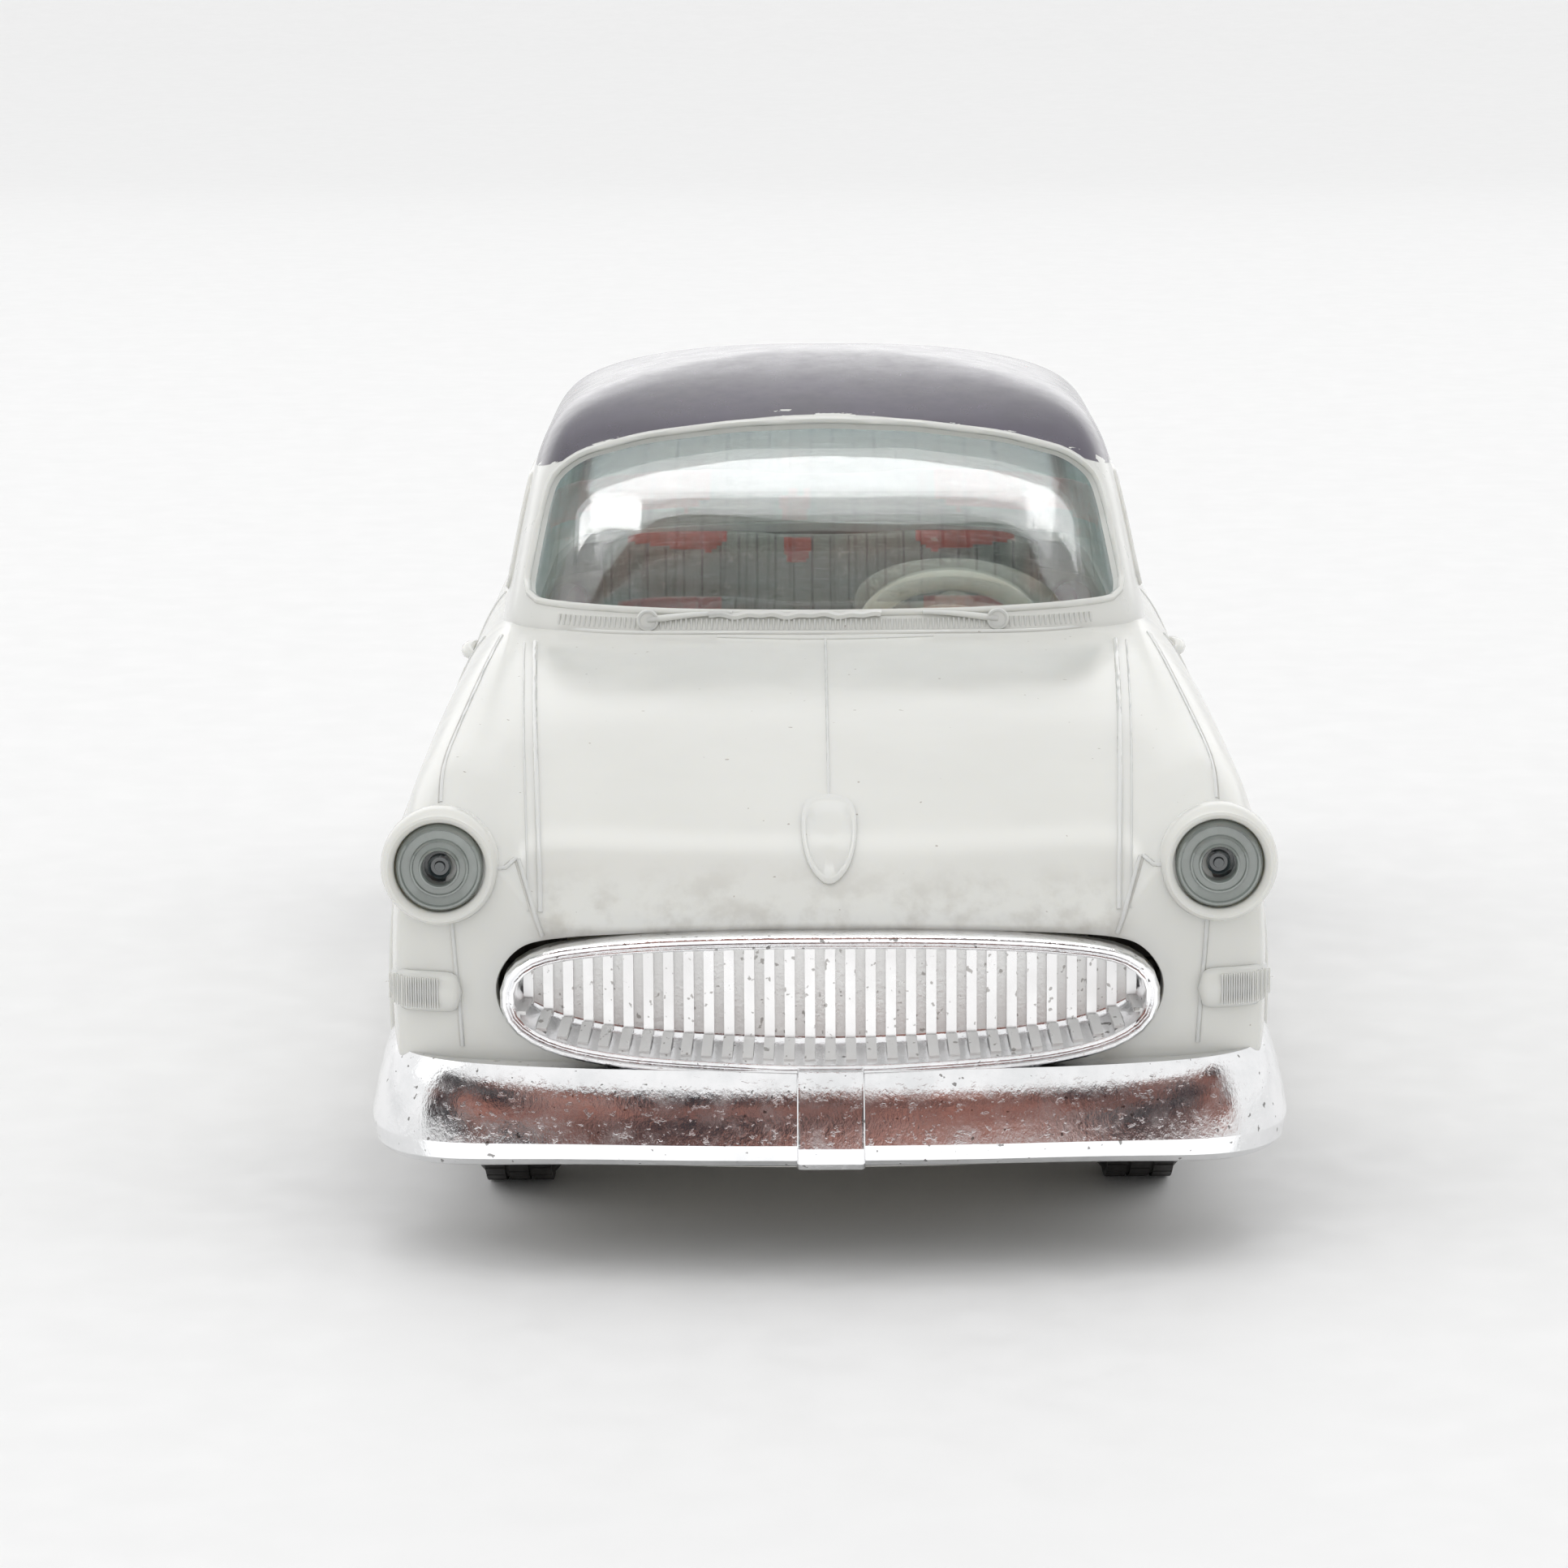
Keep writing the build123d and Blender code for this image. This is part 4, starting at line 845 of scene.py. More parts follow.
# ---------------------------------------------------------------- body
# Half sections from the middle of the top to the widest side, (x, z), at places behind the nose.
NOSE_ROWS = [
    (5.0, [(0, 33.9), (14, 33.6), (27.2, 32.6), (30.2, 36.6), (33.4, 40.8),
           (37.2, 42.8), (40.2, 40.2), (41.3, 36), (41.7, 30)]),
    (7.2, [(0, 36.4), (14, 36.2), (27.3, 35.4), (30.6, 39.0), (33.9, 42.4),
           (37.3, 44.1), (40.4, 41.4), (41.6, 37), (42.1, 30.2)]),
    (10.6, [(0, 39.6), (14, 39.5), (27.5, 38.9), (31.0, 41.3), (34.2, 43.9),
            (37.4, 45.3), (40.6, 42.6), (41.8, 38.2), (42.5, 30.4)]),
    (17.0, [(0, 43.0), (14, 42.9), (27.9, 42.5), (31.5, 43.5), (34.5, 45.4),
            (37.4, 46.5), (40.7, 44.0), (42.0, 39.6), (43.0, 30.6)]),
]
BODY_ROWS = [
    (27.0, [(0, 45.6), (14, 45.6), (28.6, 45.1), (32.0, 45.3), (34.6, 46.5),
            (37.1, 47.2), (40.5, 44.9), (42.0, 40.4), (43.3, 30.8)]),
    (39.0, [(0, 48.1), (14, 48.0), (29.3, 47.6), (32.3, 47.3), (34.5, 47.8),
            (36.8, 48.4), (40.1, 46.0), (41.9, 41.0), (43.5, 31.0)]),
    (56.0, [(0, 50.4), (14, 50.3), (30.3, 49.7), (32.7, 49.3), (34.2, 49.6),
            (36.0, 50.1), (39.5, 47.4), (41.7, 41.8), (43.7, 31.2)]),
    (71.0, [(0, 51.8), (14, 51.7), (31.0, 51.0), (32.6, 50.8), (33.8, 51.0),
            (35.2, 51.2), (38.9, 48.4), (41.4, 42.4), (43.8, 31.4)]),
    (86.0, [(0, 52.4), (14, 52.3), (31.4, 51.6), (32.8, 51.4), (33.8, 51.4),
            (34.9, 51.3), (38.2, 49.0), (41.2, 42.8), (43.9, 31.5)]),
    (112.0, [(0, 52.2), (14, 52.1), (31.4, 51.4), (33.0, 51.2), (34.2, 51.0),
             (35.4, 50.8), (38.0, 48.9), (41.1, 42.8), (44.0, 31.4)]),
    (140.0, [(0, 52.0), (14, 51.9), (31.4, 51.2), (33.2, 50.9), (34.6, 50.6),
             (35.8, 50.2), (38.2, 48.5), (41.1, 42.6), (44.0, 31.2)]),
    (166.0, [(0, 51.8), (14, 51.6), (30.6, 50.9), (33.2, 50.4), (35.0, 50.0),
             (36.2, 49.5), (38.4, 47.9), (41.1, 42.3), (43.9, 31.0)]),
    (184.0, [(0, 51.2), (14, 51.0), (29.4, 50.1), (33.2, 49.4), (35.4, 49.1),
             (36.9, 48.7), (38.8, 46.9), (41.1, 41.8), (43.7, 30.8)]),
    (199.0, [(0, 49.5), (14, 49.2), (28.2, 48.2), (33.0, 47.6), (35.6, 47.7),
             (37.3, 47.4), (39.2, 45.5), (41.1, 40.9), (43.3, 30.4)]),
    (212.0, [(0, 46.8), (14, 46.5), (27.2, 45.6), (32.6, 45.6), (35.5, 46.1),
             (37.2, 45.9), (39.2, 43.8), (40.9, 39.6), (42.8, 30.0)]),
]
TAIL_ROWS = [
    (221.5, [(0, 43.2), (14, 42.9), (26.6, 42.2), (32.0, 42.9), (35.0, 43.9),
             (36.8, 43.7), (38.9, 41.4), (40.4, 37.6), (42.0, 29.6)]),
    (228.4, [(0, 38.6), (14, 38.3), (26.0, 37.6), (31.4, 39.0), (34.6, 40.4),
             (36.4, 40.2), (38.3, 38.2), (39.7, 35.0), (41.0, 29.0)]),
    (230.6, [(0, 34.6), (14, 34.3), (25.4, 33.8), (30.6, 35.2), (33.8, 36.6),
             (35.4, 36.4), (37.0, 34.8), (38.2, 32.4), (39.2, 28.0)]),
]
SILL = 10.0
# The oval of the grille's opening, matched column by column to the sections.
OVAL = [(0, 33.15), (14, 32.85), (27.4, 31.95), (29.8, 30.8), (31.1, 29.3), (31.8, 27.9), (32.0, 26.6)]
OVAL += [(31.8, 25.2), (31.1, 23.7), (29.8, 22.3), (28.0, 21.4), (14, 20.2), (0, 19.9)]


def full_row(half):
    """A section with its sill and its closed bottom added, as (x, z)."""
    side_x = half[-1][0]
    return half + [(side_x - 0.1, 20.0), (side_x - 0.9, SILL), (20.0, SILL), (0.0, SILL)]


def body_rows():
    """The body's sections from inside the grille's opening to the closed tail."""
    rows = [[(x, 9.0 + bow(x), z) for x, z in OVAL], [(x, 5.4 + bow(x), z) for x, z in OVAL]]
    nose = full_row(NOSE_ROWS[0][1])
    halfway = [((a + c) / 2, (b + d) / 2) for (a, b), (c, d) in zip(OVAL, nose)]
    rows.append([(x, 5.1 + bow(x), z) for x, z in halfway])
    for (s, half), keep in zip(NOSE_ROWS, (1.0, 1.0, 0.95, 0.75)):
        rows.append([(x, s + keep * bow(x), z) for x, z in full_row(half)])
    rows += [[(x, s, z) for x, z in full_row(half)] for s, half in BODY_ROWS]
    for (s, half), keep in zip(TAIL_ROWS, (0.7, 1.0, 1.0)):
        rows.append([(x, s - keep * bow(x, TAIL_BOW), z) for x, z in full_row(half)])
    last = full_row(TAIL_ROWS[-1][1])
    for share in (0.86, 0.5):
        shrunk = [(x * share, 23.0 + (z - 23.0) * share) for x, z in last]
        rows.append([(x, 231.2 - bow(x, TAIL_BOW), z) for x, z in shrunk])
    return rows


def circle(s, z, radius, steps=72):
    """A round outline seen from the side."""
    turns = [2 * math.pi * k / steps for k in range(steps)]
    return [(s + radius * math.cos(a), z + radius * math.sin(a)) for a in turns]


SURFACES = {}
# The hole in the top of the body under the cabin, as (x, s).
CABIN_WELL = [(-31.0, 88), (-16, 80.5), (0, 79.5), (16, 80.5), (31.0, 88), (32.2, 110), (32.2, 150)]
CABIN_WELL += [(30.5, 172), (16, 176.5), (0, 177), (-16, 176.5), (-30.5, 172), (-32.2, 150), (-32.2, 110)]


def make_body(settings):
    """Lower body: bonnet, wings, doors and tail in one skin, open for wheels, cabin and grille."""
    cream = FINISHES["cream"]
    rows = body_rows()
    obj = cage_skin("body_lower", rows, (3, len(rows) - 4, 10), cream, ((1, 0.8), (3, 0.25), (2, 0.0)))
    surface = surface_of(obj)
    SURFACES["body"] = surface
    for s in AXLES.values():
        for towards in (-1, 1):
            arch = drawn(circle(s, AXLE_Z + ARCH_RISE, settings.arch_radius / MM), "side")
            open_skin(obj, surface, arch, "side", towards)
    open_skin(obj, surface, drawn(CABIN_WELL, "top"), "top", -1)
    thickened(obj, settings.wall, cream)
    join_body(obj, replaced=("body_shell",))


# ---------------------------------------------------------------- cabin
# Height, front, rear, half width.
CABIN_ROWS = [
    (47.0, 74.4, 183.0, 36.6),
    (51.0, 75.0, 181.6, 36.0),
    (54.0, 76.4, 180.0, 35.3),
    (58.0, 80.6, 175.8, 34.5),
    (62.0, 85.1, 171.4, 33.7),
    (66.0, 90.0, 167.0, 32.8),
    (69.2, 94.4, 163.4, 31.8),
    (71.7, 98.2, 159.6, 30.2),
    (73.5, 103.0, 155.2, 27.8),
    (75.1, 109.0, 150.0, 23.8),
    (76.4, 115.4, 144.6, 18.0),
    (77.3, 121.5, 139.0, 11.0),
    (77.7, 126.0, 134.5, 4.5),
]
# A quarter of the cabin's plan, as shares of its half width and of its length.
CABIN_SHARES = [(0.0, 0.0), (0.30, 0.004), (0.56, 0.013), (0.79, 0.040), (0.945, 0.088)]
CABIN_SHARES += [(1.0, 0.175), (1.0, 0.33)]
SCREEN_TOP = [(31.2, 63.4), (30.3, 66.4), (27.2, 68.8), (20.0, 70.7), (10.0, 71.85), (0, 72.2)]
HALF_SCREEN = [(0, 53.6), (16, 53.7), (33.0, 54.1), (31.8, 60.5)] + SCREEN_TOP
WINDSCREEN = rounded(HALF_SCREEN + [(-x, z) for x, z in reversed(HALF_SCREEN[1:-1])], 2.4)
REAR_WINDOW = [(x * 0.94, 55.2 + (z - 53.6) * 0.84) for x, z in WINDSCREEN]
SIDE_PANES = [
    [(95.5, 54.0), (126.0, 53.4), (126.0, 65.2), (106.5, 65.2)],
    [(130.5, 53.3), (166.5, 53.6), (156.5, 65.2), (130.5, 65.2)],
]


def cabin_rows(inset=0.0):
    """The cabin's outline at each height, drawn in by inset millimetres."""
    rows = []
    for z, front, rear, half in CABIN_ROWS:
        span = rear - front - 2 * inset
        middle = [(half * x - inset * x, front + inset + span * t, z - inset) for x, t in CABIN_SHARES]
        back = [(x, front + rear - s, height) for x, s, height in middle]
        rows.append(middle + [(half - inset, (front + rear) / 2, z - inset)] + back[::-1])
    return rows


NO_OPENING = (0, 0, 99)
PLAY = 0.15  # between the roof and the windows inside it


def make_cabin(settings):
    """Roof, pillars and window frames, painted above the screens."""
    roof = FINISHES["roof"]
    rows = cabin_rows()
    obj = cage_skin("cabin_roof", rows, NO_OPENING, roof)
    surface = surface_of(obj)
    SURFACES["cabin"] = surface
    openings = [(WINDSCREEN, "end", 1), (REAR_WINDOW, "end", -1)]
    openings += [(rounded(pane, 2.6), "side", way) for pane in SIDE_PANES for way in (-1, 1)]
    for outline, view, towards in openings:
        open_skin(obj, surface, drawn(outline, view), view, towards)
    thickened(obj, settings.wall, roof)
    obj.visible_shadow = False  # lets the room's light fall on the seats
    join_body(obj, replaced=("body_shell",))
    bead = settings.bead_radius
    beads = [
        raised_line("bead", surface, outline, view, towards, bead, FINISHES["cream"], closed=True)
        for outline, view, towards in openings
    ]
    frames = joined("window_beads", beads, FINISHES["cream"], 60)
    join_body(frames)


def make_glazing(settings):
    """One clear moulding close inside the roof and behind every window."""
    clear = FINISHES["clear"]
    obj = cage_skin("clear_windows", cabin_rows(settings.wall / MM + PLAY), NO_OPENING, clear)
    thickened(obj, settings.glass, clear)
    obj.visible_shadow = False  # lets the room's light into the cabin
    join_body(obj, replaced=("window_glazing",))


# ---------------------------------------------------------------- moulded trim
WING_SEAM = [(37.3, 14.5), (37.5, 20), (37.1, 35), (36.0, 56), (34.9, 79)]
BONNET_EDGE = [(27.6, 8.4), (28.1, 16), (28.7, 26), (29.7, 44), (31.1, 74)]
COWL_LINE = [(-31.1, 83.5), (-24, 77.6), (-12, 74.6), (0, 73.8), (12, 74.6), (24, 77.6), (31.1, 83.5)]
CHEEK_SEAM = [(32.0, 38.6), (31.1, 38.4), (29.9, 39.1), (28.6, 35.6), (27.4, 32.1)]
LAMP_SEAM = [(36.2, 33.6), (35.9, 29.4), (35.6, 26.0), (35.3, 21.0)]
DOOR = [(91, 49.2), (90.2, 40), (90.0, 22), (92, 14.6)]
DOOR += [(124, 14.0), (128.6, 16), (129.0, 30), (128.4, 49.2)]
WAIST_MOULDING = [(16, 38.2), (60, 38.8), (120, 38.6), (180, 37.4), (222, 35.6)]
BOOT_LID = [(-27, 226), (-28, 205), (-28.6, 188), (-20, 184.5), (0, 183.6)]
BOOT_LID += [(20, 184.5), (28.6, 188), (28, 205), (27, 226)]
CREASE = [(0, s) for s in np.linspace(15, 72, 30)]  # down the middle of the bonnet
SHADE_SHARE = 0.42  # radius of the painted shade beside a line, of the line's own
HANDLE_S, HANDLE_LONG, HANDLE_Z, HANDLE_RISE = 116.5, 8.5, 43.4, 0.2
KNOB_HALF, KNOB_Z = 3.2, 39.4
PLATE_FRAME = [(-9, 24.6), (9, 24.6), (9, 30.2), (-9, 30.2)]
BOW_STEPS = np.linspace(0, 1, 12)


def make_trim(settings):
    """Shut lines, mould seams, waist mouldings and the bonnet's crease, all moulded with the body."""
    cream, body = FINISHES["cream"], SURFACES["body"]
    thin = settings.seam_radius
    lines, shadows = [], []

    def seam(points, view, towards, size=1.0, aside=None, gap=1.2):
        """A raised line, with a thin grey line of painted shade beside it."""
        lines.append(raised_line("line", body, points, view, towards, thin * size, cream, gap=gap))
        if aside:
            moved = [(a + aside[0], b + aside[1]) for a, b in points]
            # painted shade: a grey line beside the raised one, where the seam's groove would be shaded
            painted_shade, radius = FINISHES["grime"], thin * SHADE_SHARE
            shadows.append(raised_line("painted_shade", body, moved, view, towards, radius, painted_shade, gap=gap))

    for side in (-1, 1):
        outlines = (WING_SEAM, BONNET_EDGE, CHEEK_SEAM, LAMP_SEAM)
        wing, bonnet, cheek, lamp = ([(side * x, rest) for x, rest in points] for points in outlines)
        fold = smooth_line(bonnet, 60)
        seam(smooth_line(wing, 60), "top", -1, 0.8, (side * 0.22, 0))
        seam(fold, "top", -1, 1.2)
        seam([(x + side * 1.15, s) for x, s in fold], "top", -1, 0.5)
        seam(cheek, "end", 1, 1.1, (side * 0.26, -0.1), gap=0.5)
        seam(lamp, "end", 1, 1.0, (side * 0.2, 0), gap=0.5)
        seam(smooth_line(DOOR, 80), "side", side, 0.9, (0.3, 0))
        seam(smooth_line(WAIST_MOULDING, 60), "side", side, 2.6, (0, -0.6), gap=4.0)
    seam(smooth_line(COWL_LINE, 60), "top", -1, 1.4, (0, -0.4))
    seam(smooth_line(BOOT_LID, 60), "top", -1, 1.0, (0, 0.3))
    seam(CREASE, "top", -1, 0.7)
    for s in AXLES.values():
        for towards in (-1, 1):
            arch = circle(s, AXLE_Z + ARCH_RISE, settings.arch_radius / MM + 0.1)
            arch = [p for p in arch if p[1] > SILL + 0.4]
            start = max(range(len(arch)), key=lambda i: (Vector(arch[i]) - Vector(arch[i - 1])).length)
            arch = arch[start:] + arch[:start]
            lines.append(raised_line("line", body, arch, "side", towards, 0.0005, cream))
    join_body(joined("moulded_lines", lines, cream, 60))
    join_body(make_fittings(body, cream))
    # the painted shade lines from beside the seams, as one object
    join_body(joined("painted_shade_in_seams", shadows, FINISHES["grime"], 60))


def make_fittings(body, cream):
    """Door handles, the boot's knob and the frame of the number plate."""
    parts = []
    for side in (-1, 1):
        grip = []
        for t in BOW_STEPS:
            s, z = HANDLE_S + HANDLE_LONG * t, HANDLE_Z + HANDLE_RISE * t
            hit = drop(body, "side", -side, ((s - LENGTH / 2) * MM, z * MM))
            grip.append(hit + Vector((side * (0.0011 * math.sin(math.pi * t) ** 0.5 - 0.0003), 0, 0)))
        thick = [0.00045 + 0.00035 * math.sin(math.pi * t) for t in BOW_STEPS]
        parts.append(tube("handle", grip, thick, cream, sides=10))
    knob = []
    for t in BOW_STEPS:
        hit = drop(body, "end", -1, ((2 * t - 1) * KNOB_HALF * MM, KNOB_Z * MM))
        knob.append(hit + Vector((0, 0.0009 * math.sin(math.pi * t) ** 0.5 - 0.0003, 0)))
    parts.append(tube("knob", knob, 0.0006, cream, sides=10))
    plate = rounded(PLATE_FRAME, 1.0)
    parts.append(raised_line("plate", body, plate, "end", -1, 0.0004, cream, closed=True, gap=0.8))
    return joined("door_handles_and_plate_frame", parts, cream, 60)


# Profiles of the headlights, (behind the bezel's face, radius).
BEZEL = [(6.0, 4.25), (1.9, 4.3), (0.9, 4.38), (0.35, 4.6), (0.12, 4.9), (0.2, 5.15), (0.6, 5.4)]
BEZEL += [(1.5, 5.65), (3.2, 5.7), (5.5, 5.35), (8.5, 4.5), (8.5, 4.25)]
LENS = [(1.5, 4.27), (0.95, 4.1), (0.75, 3.95), (0.7, 3.75), (0.95, 3.6), (1.0, 2.85), (0.75, 2.75)]
LENS += [(0.7, 2.6), (0.95, 2.5), (0.9, 2.0), (0.55, 1.9), (0.5, 1.75), (0.7, 1.66), (2.4, 1.6)]
LENS += [(2.5, 0.02), (4.2, 0.02), (4.2, 4.27)]
LENS_CORE = [(1.5, 0.02), (1.5, 0.45), (1.9, 0.55), (1.9, 0.85), (1.5, 1.0), (1.55, 1.12), (2.3, 1.2)]
LENS_CORE += [(2.35, 1.58), (2.48, 1.58), (2.48, 0.02)]


def make_headlights():
    """Cream bezels with stepped grey lenses set in them, each with a near-black core of painted shade in its hole.
    """
    for side, hand in ((-1, "right"), (1, "left")):
        centre = place(side * LAMP_X, LAMP_S, LAMP_Z)
        ring = turned(f"headlight_bezel_{hand}", BEZEL, centre, "Y", FINISHES["cream"], 72, 40)
        join_body(ring)
        glass = turned(f"headlight_glass_{hand}", LENS, centre, "Y", FINISHES["lens"], 72, 25)
        join_body(glass, replaced=(f"headlight_lens_{hand}",))
        # painted shade: a near-black plug at the bottom of the lens's hole
        dark = turned(f"headlight_core_{hand}", LENS_CORE, centre, "Y", FINISHES["lens_dark"], 40, 25)
        join_body(dark)


INDICATOR_X, INDICATOR_LONG, INDICATOR_Z = 35.3, 7.4, 26.3
INDICATOR_HALF = 1.95  # of its height
CHEEK_X = 41.0  # the cheek turns away outside this


def make_indicators():
    """Pill-shaped blocks under the headlights, ribbed on their outer part."""
    cream, body = FINISHES["cream"], SURFACES["body"]
    pills, ribs = [], []
    for side in (-1, 1):
        rings = []
        for t in np.linspace(0, 1, 17):
            x = INDICATOR_X + INDICATOR_LONG * t
            fat = INDICATOR_HALF * math.sqrt(max(0.0, 1 - (2 * t - 1) ** 8)) + 0.05
            hit = drop(body, "end", 1, (side * min(x, CHEEK_X) * MM, INDICATOR_Z * MM))
            depth = hit.y / MM + LENGTH / 2 + max(0.0, x - CHEEK_X + 0.4) ** 1.4 * 1.3 - 0.25
            turns = [2 * math.pi * k / 14 for k in range(14)]
            section = [(depth - fat / 2 * math.cos(a), INDICATOR_Z + fat * math.sin(a)) for a in turns]
            rings.append([place(side * x, s, z) for s, z in section])
            if t > 0.3:
                for shift in (0.0, 0.25):
                    spot = place(side * (x + shift), depth - 0.5 * fat + shift * 0.2, INDICATOR_Z)
                    ribs.append((spot, (0, 0, 0), (0.00018, 0.00022, 0.0030 * fat / 2)))
        pills.append(swept("pill", rings, cream, 60))
    join_body(joined("indicator_blocks", pills, cream, 60))
    join_body(repeated("indicator_ribs", ribs, cream))


LOUVRE_HALF, LOUVRE_Z = 28.8, 52.5
WIPER_Z = 52.9
WIPERS = ((-19.1, -10.0), (18.6, 10.5))  # x of the pivot and of the arm's tip
FLASH = (-12.5, 18.5, 53.25)  # start, length and height of the mould's flash under the screen
BONNET_VEE = [(-11.5, 72.6), (-6, 71.4), (0, 70.9), (6, 71.4), (11.5, 72.6)]


def make_cowl(settings):
    """Louvres, wipers and flash below the windscreen, and the plain shield on the bonnet."""
    cream, body, cabin = FINISHES["cream"], SURFACES["body"], SURFACES["cabin"]
    ribs = []
    for x in np.linspace(-LOUVRE_HALF, LOUVRE_HALF, settings.louvres):
        hit = drop(cabin, "end", 1, (x * MM, LOUVRE_Z * MM))
        ribs.append((hit, (math.radians(-12), 0, x / 160.0), (0.00027, 0.0004, 0.00115)))
    join_body(repeated("cowl_louvres", ribs, cream))
    parts = []
    for x, tip in WIPERS:
        base = drop(cabin, "end", 1, (x * MM, WIPER_Z * MM))
        pivot = [base + Vector((0, 0.0004, 0)), base - Vector((0, 0.0008, -0.0001))]
        parts.append(swept("wiper", tube_rings(pivot, 0.0010, sides=20), cream, 50))
        turns = np.linspace(0, 6.02, 24)
        rim = [base + Vector((0.0010 * math.cos(a), -0.0007, 0.0010 * math.sin(a))) for a in turns]
        parts.append(tube("wiper", rim, 0.00022, cream, closed=True, sides=6))
        steps = np.linspace(0, 1, 16)
        spots = [((x + (tip - x) * t) * MM, (WIPER_Z + 0.8 * math.sin(t * 1.5)) * MM) for t in steps]
        arm = [drop(cabin, "end", 1, spot) + Vector((0, -0.0005, 0)) for spot in spots]
        parts.append(tube("wiper", arm, [0.00042 - 0.0002 * t for t in steps], cream))
    flash = []
    for t in np.linspace(0, 1, 60):
        hit = drop(cabin, "end", 1, ((FLASH[0] + FLASH[1] * t) * MM, FLASH[2] * MM))
        flash.append(hit + Vector((0, -0.0002, 0.0002 * math.sin(31 * t) * math.sin(11 * t) + 0.00025)))
    parts.append(tube("flash", flash, 0.00042, cream, sides=6))
    parts.append(raised_line("vee", body, smooth_line(BONNET_VEE, 30), "top", -1, 0.00028, cream))
    join_body(joined("wipers_and_cowl", parts, cream, 50))
    make_shield(cream, body)


SHIELD = [(-2.6, 3.0), (0, 3.5), (2.6, 3.0), (2.7, 0.2), (1.8, -2.2), (0, -3.6), (-1.8, -2.2), (-2.7, 0.2)]
SHIELD_Z = 40.2
# The shield's section: share of its outline, and how far it stands off the bonnet.
SHIELD_STEPS = ((1.0, -0.0004), (1.0, 0.00025), (0.93, 0.0004), (0.86, 0.00038), (0.8, 0.00018))
SHIELD_STEPS += ((0.4, 0.0003), (0.05, 0.00036))


def make_shield(cream, body):
    """A plain raised shield with a rim, on the slope of the bonnet's nose."""
    outline = rounded(SHIELD, 1.2, 5)
    rings = []
    for share, lift in SHIELD_STEPS:
        ring = []
        for x, z in outline:
            hit = drop(body, "end", 1, (x * share * MM, (SHIELD_Z + z * share) * MM))
            ring.append(hit + Vector((0, -0.75, 0.66)) * lift)
        rings.append(ring)
    badge = swept("bonnet_shield", rings, cream, 40)
    join_body(badge)


# ---------------------------------------------------------------- bumpers and grille
GRILLE_MIDDLE = 26.4
GRILLE_ARCS = [(0.0, 6.75), (14.5, 6.4), (24.5, 5.35), (28.7, 4.15), (31.0, 2.1), (31.5, 0.0)]
GRILLE_ARCS += [(30.9, -2.3), (28.4, -4.4), (24.5, -5.65), (14.5, -6.7), (0.0, -7.15)]
GRILLE_FACE = 2.2  # behind the bumper's face
DISH_DEPTH = 3.9
# Section of the rim: outwards from the oval, and behind its face.
RIM_BEADS = [(0, 3.8), (0.0, 0.62), (-0.1, 0.25), (-0.32, 0.03), (-0.58, 0.06), (-0.74, 0.3), (-0.82, 0.46)]
RIM_BEADS += [(-0.92, 0.36), (-1.1, 0.3), (-1.28, 0.4), (-1.38, 0.62)]


def grille_loop(count=56):
    """The oval as a closed line of (x, z) with the outward direction at each point."""
    half = smooth_line([(-8.0, 6.65)] + GRILLE_ARCS + [(-8.0, -7.05)], count)
    half = [GRILLE_ARCS[0]] + [p for p in half if p[0] > 0.3] + [GRILLE_ARCS[-1]]
    loop = half + [(-x, z) for x, z in reversed(half[1:-1])]
    out = []
    for i, (x, z) in enumerate(loop):
        (x0, z0), (x1, z1) = loop[i - 1], loop[(i + 1) % len(loop)]
        run = Vector((x1 - x0, z1 - z0)).normalized()
        out.append((x, z, -run.y, run.x))
    return [(x, z, nx if nx * x >= 0 else -nx, nz if nz * z >= 0 else -nz) for x, z, nx, nz in out]


def grille_point(x, z, nx, nz, offset, depth):
    """The place of a point of the rim's section at one point of the oval."""
    px, pz = x + nx * offset, z + nz * offset
    return place(px, GRILLE_FACE + depth + bow(px), GRILLE_MIDDLE + pz)


def make_grille(settings):
    """The oval rim with its double bead, the scooped dish and the upright bars in it."""
    loop = grille_loop()
    inner, step = -RIM_BEADS[-1][0], RIM_BEADS[-1][1]
    rings = []
    for x, z, nx, nz in loop:
        reach = dish_reach(nz) - inner
        scoop = []
        for t in (0.3, 0.6, 0.85, 1.0):
            scoop.append((-inner - reach * t, step + (DISH_DEPTH - step) * (1 - (1 - t) ** 1.7)))
        rings.append([grille_point(x, z, nx, nz, out, deep) for out, deep in RIM_BEADS + scoop])
    verts = [p for ring in rings for p in ring]
    faces = ring_faces(len(rings), len(rings[0]), closed_rings=False, closed_path=True)
    obj = piece("grille_rim", verts, faces, FINISHES["chrome"], 40)
    bm = bmesh.new()
    bm.from_mesh(obj.data)
    bm.verts.ensure_lookup_table()
    edge = list(bm.verts)[len(rings[0]) - 1 :: len(rings[0])]
    total, half = len(edge), len(edge) // 2
    for i in range(half // 2):
        for turn in (1, -1):
            steps = (i, i + 1, half - i - 1, half - i)
            corners = list(dict.fromkeys(edge[(turn * k) % total] for k in steps))
            if len(corners) > 2:
                bm.faces.new(corners).material_index = 1
    bmesh.ops.recalc_face_normals(bm, faces=bm.faces)
    bm.faces.ensure_lookup_table()
    for face in bm.faces:
        face.smooth = face.material_index == 0
    if min(bm.faces, key=lambda f: f.calc_center_median().y).normal.y > 0:
        bmesh.ops.reverse_faces(bm, faces=bm.faces)
    bm.to_mesh(obj.data)
    bm.free()
    obj.data.set_sharp_from_angle(angle=math.radians(40))
    obj.data.materials.append(FINISHES["grille"])
    join_body(obj, replaced=("front_bumper_grille",))
    make_bars(settings, loop, FINISHES["grille"])


def dish_reach(nz):
    """How far the dish's back wall is inside the oval: more at the bottom than at the top."""
    return 2.35 - 1.05 * nz


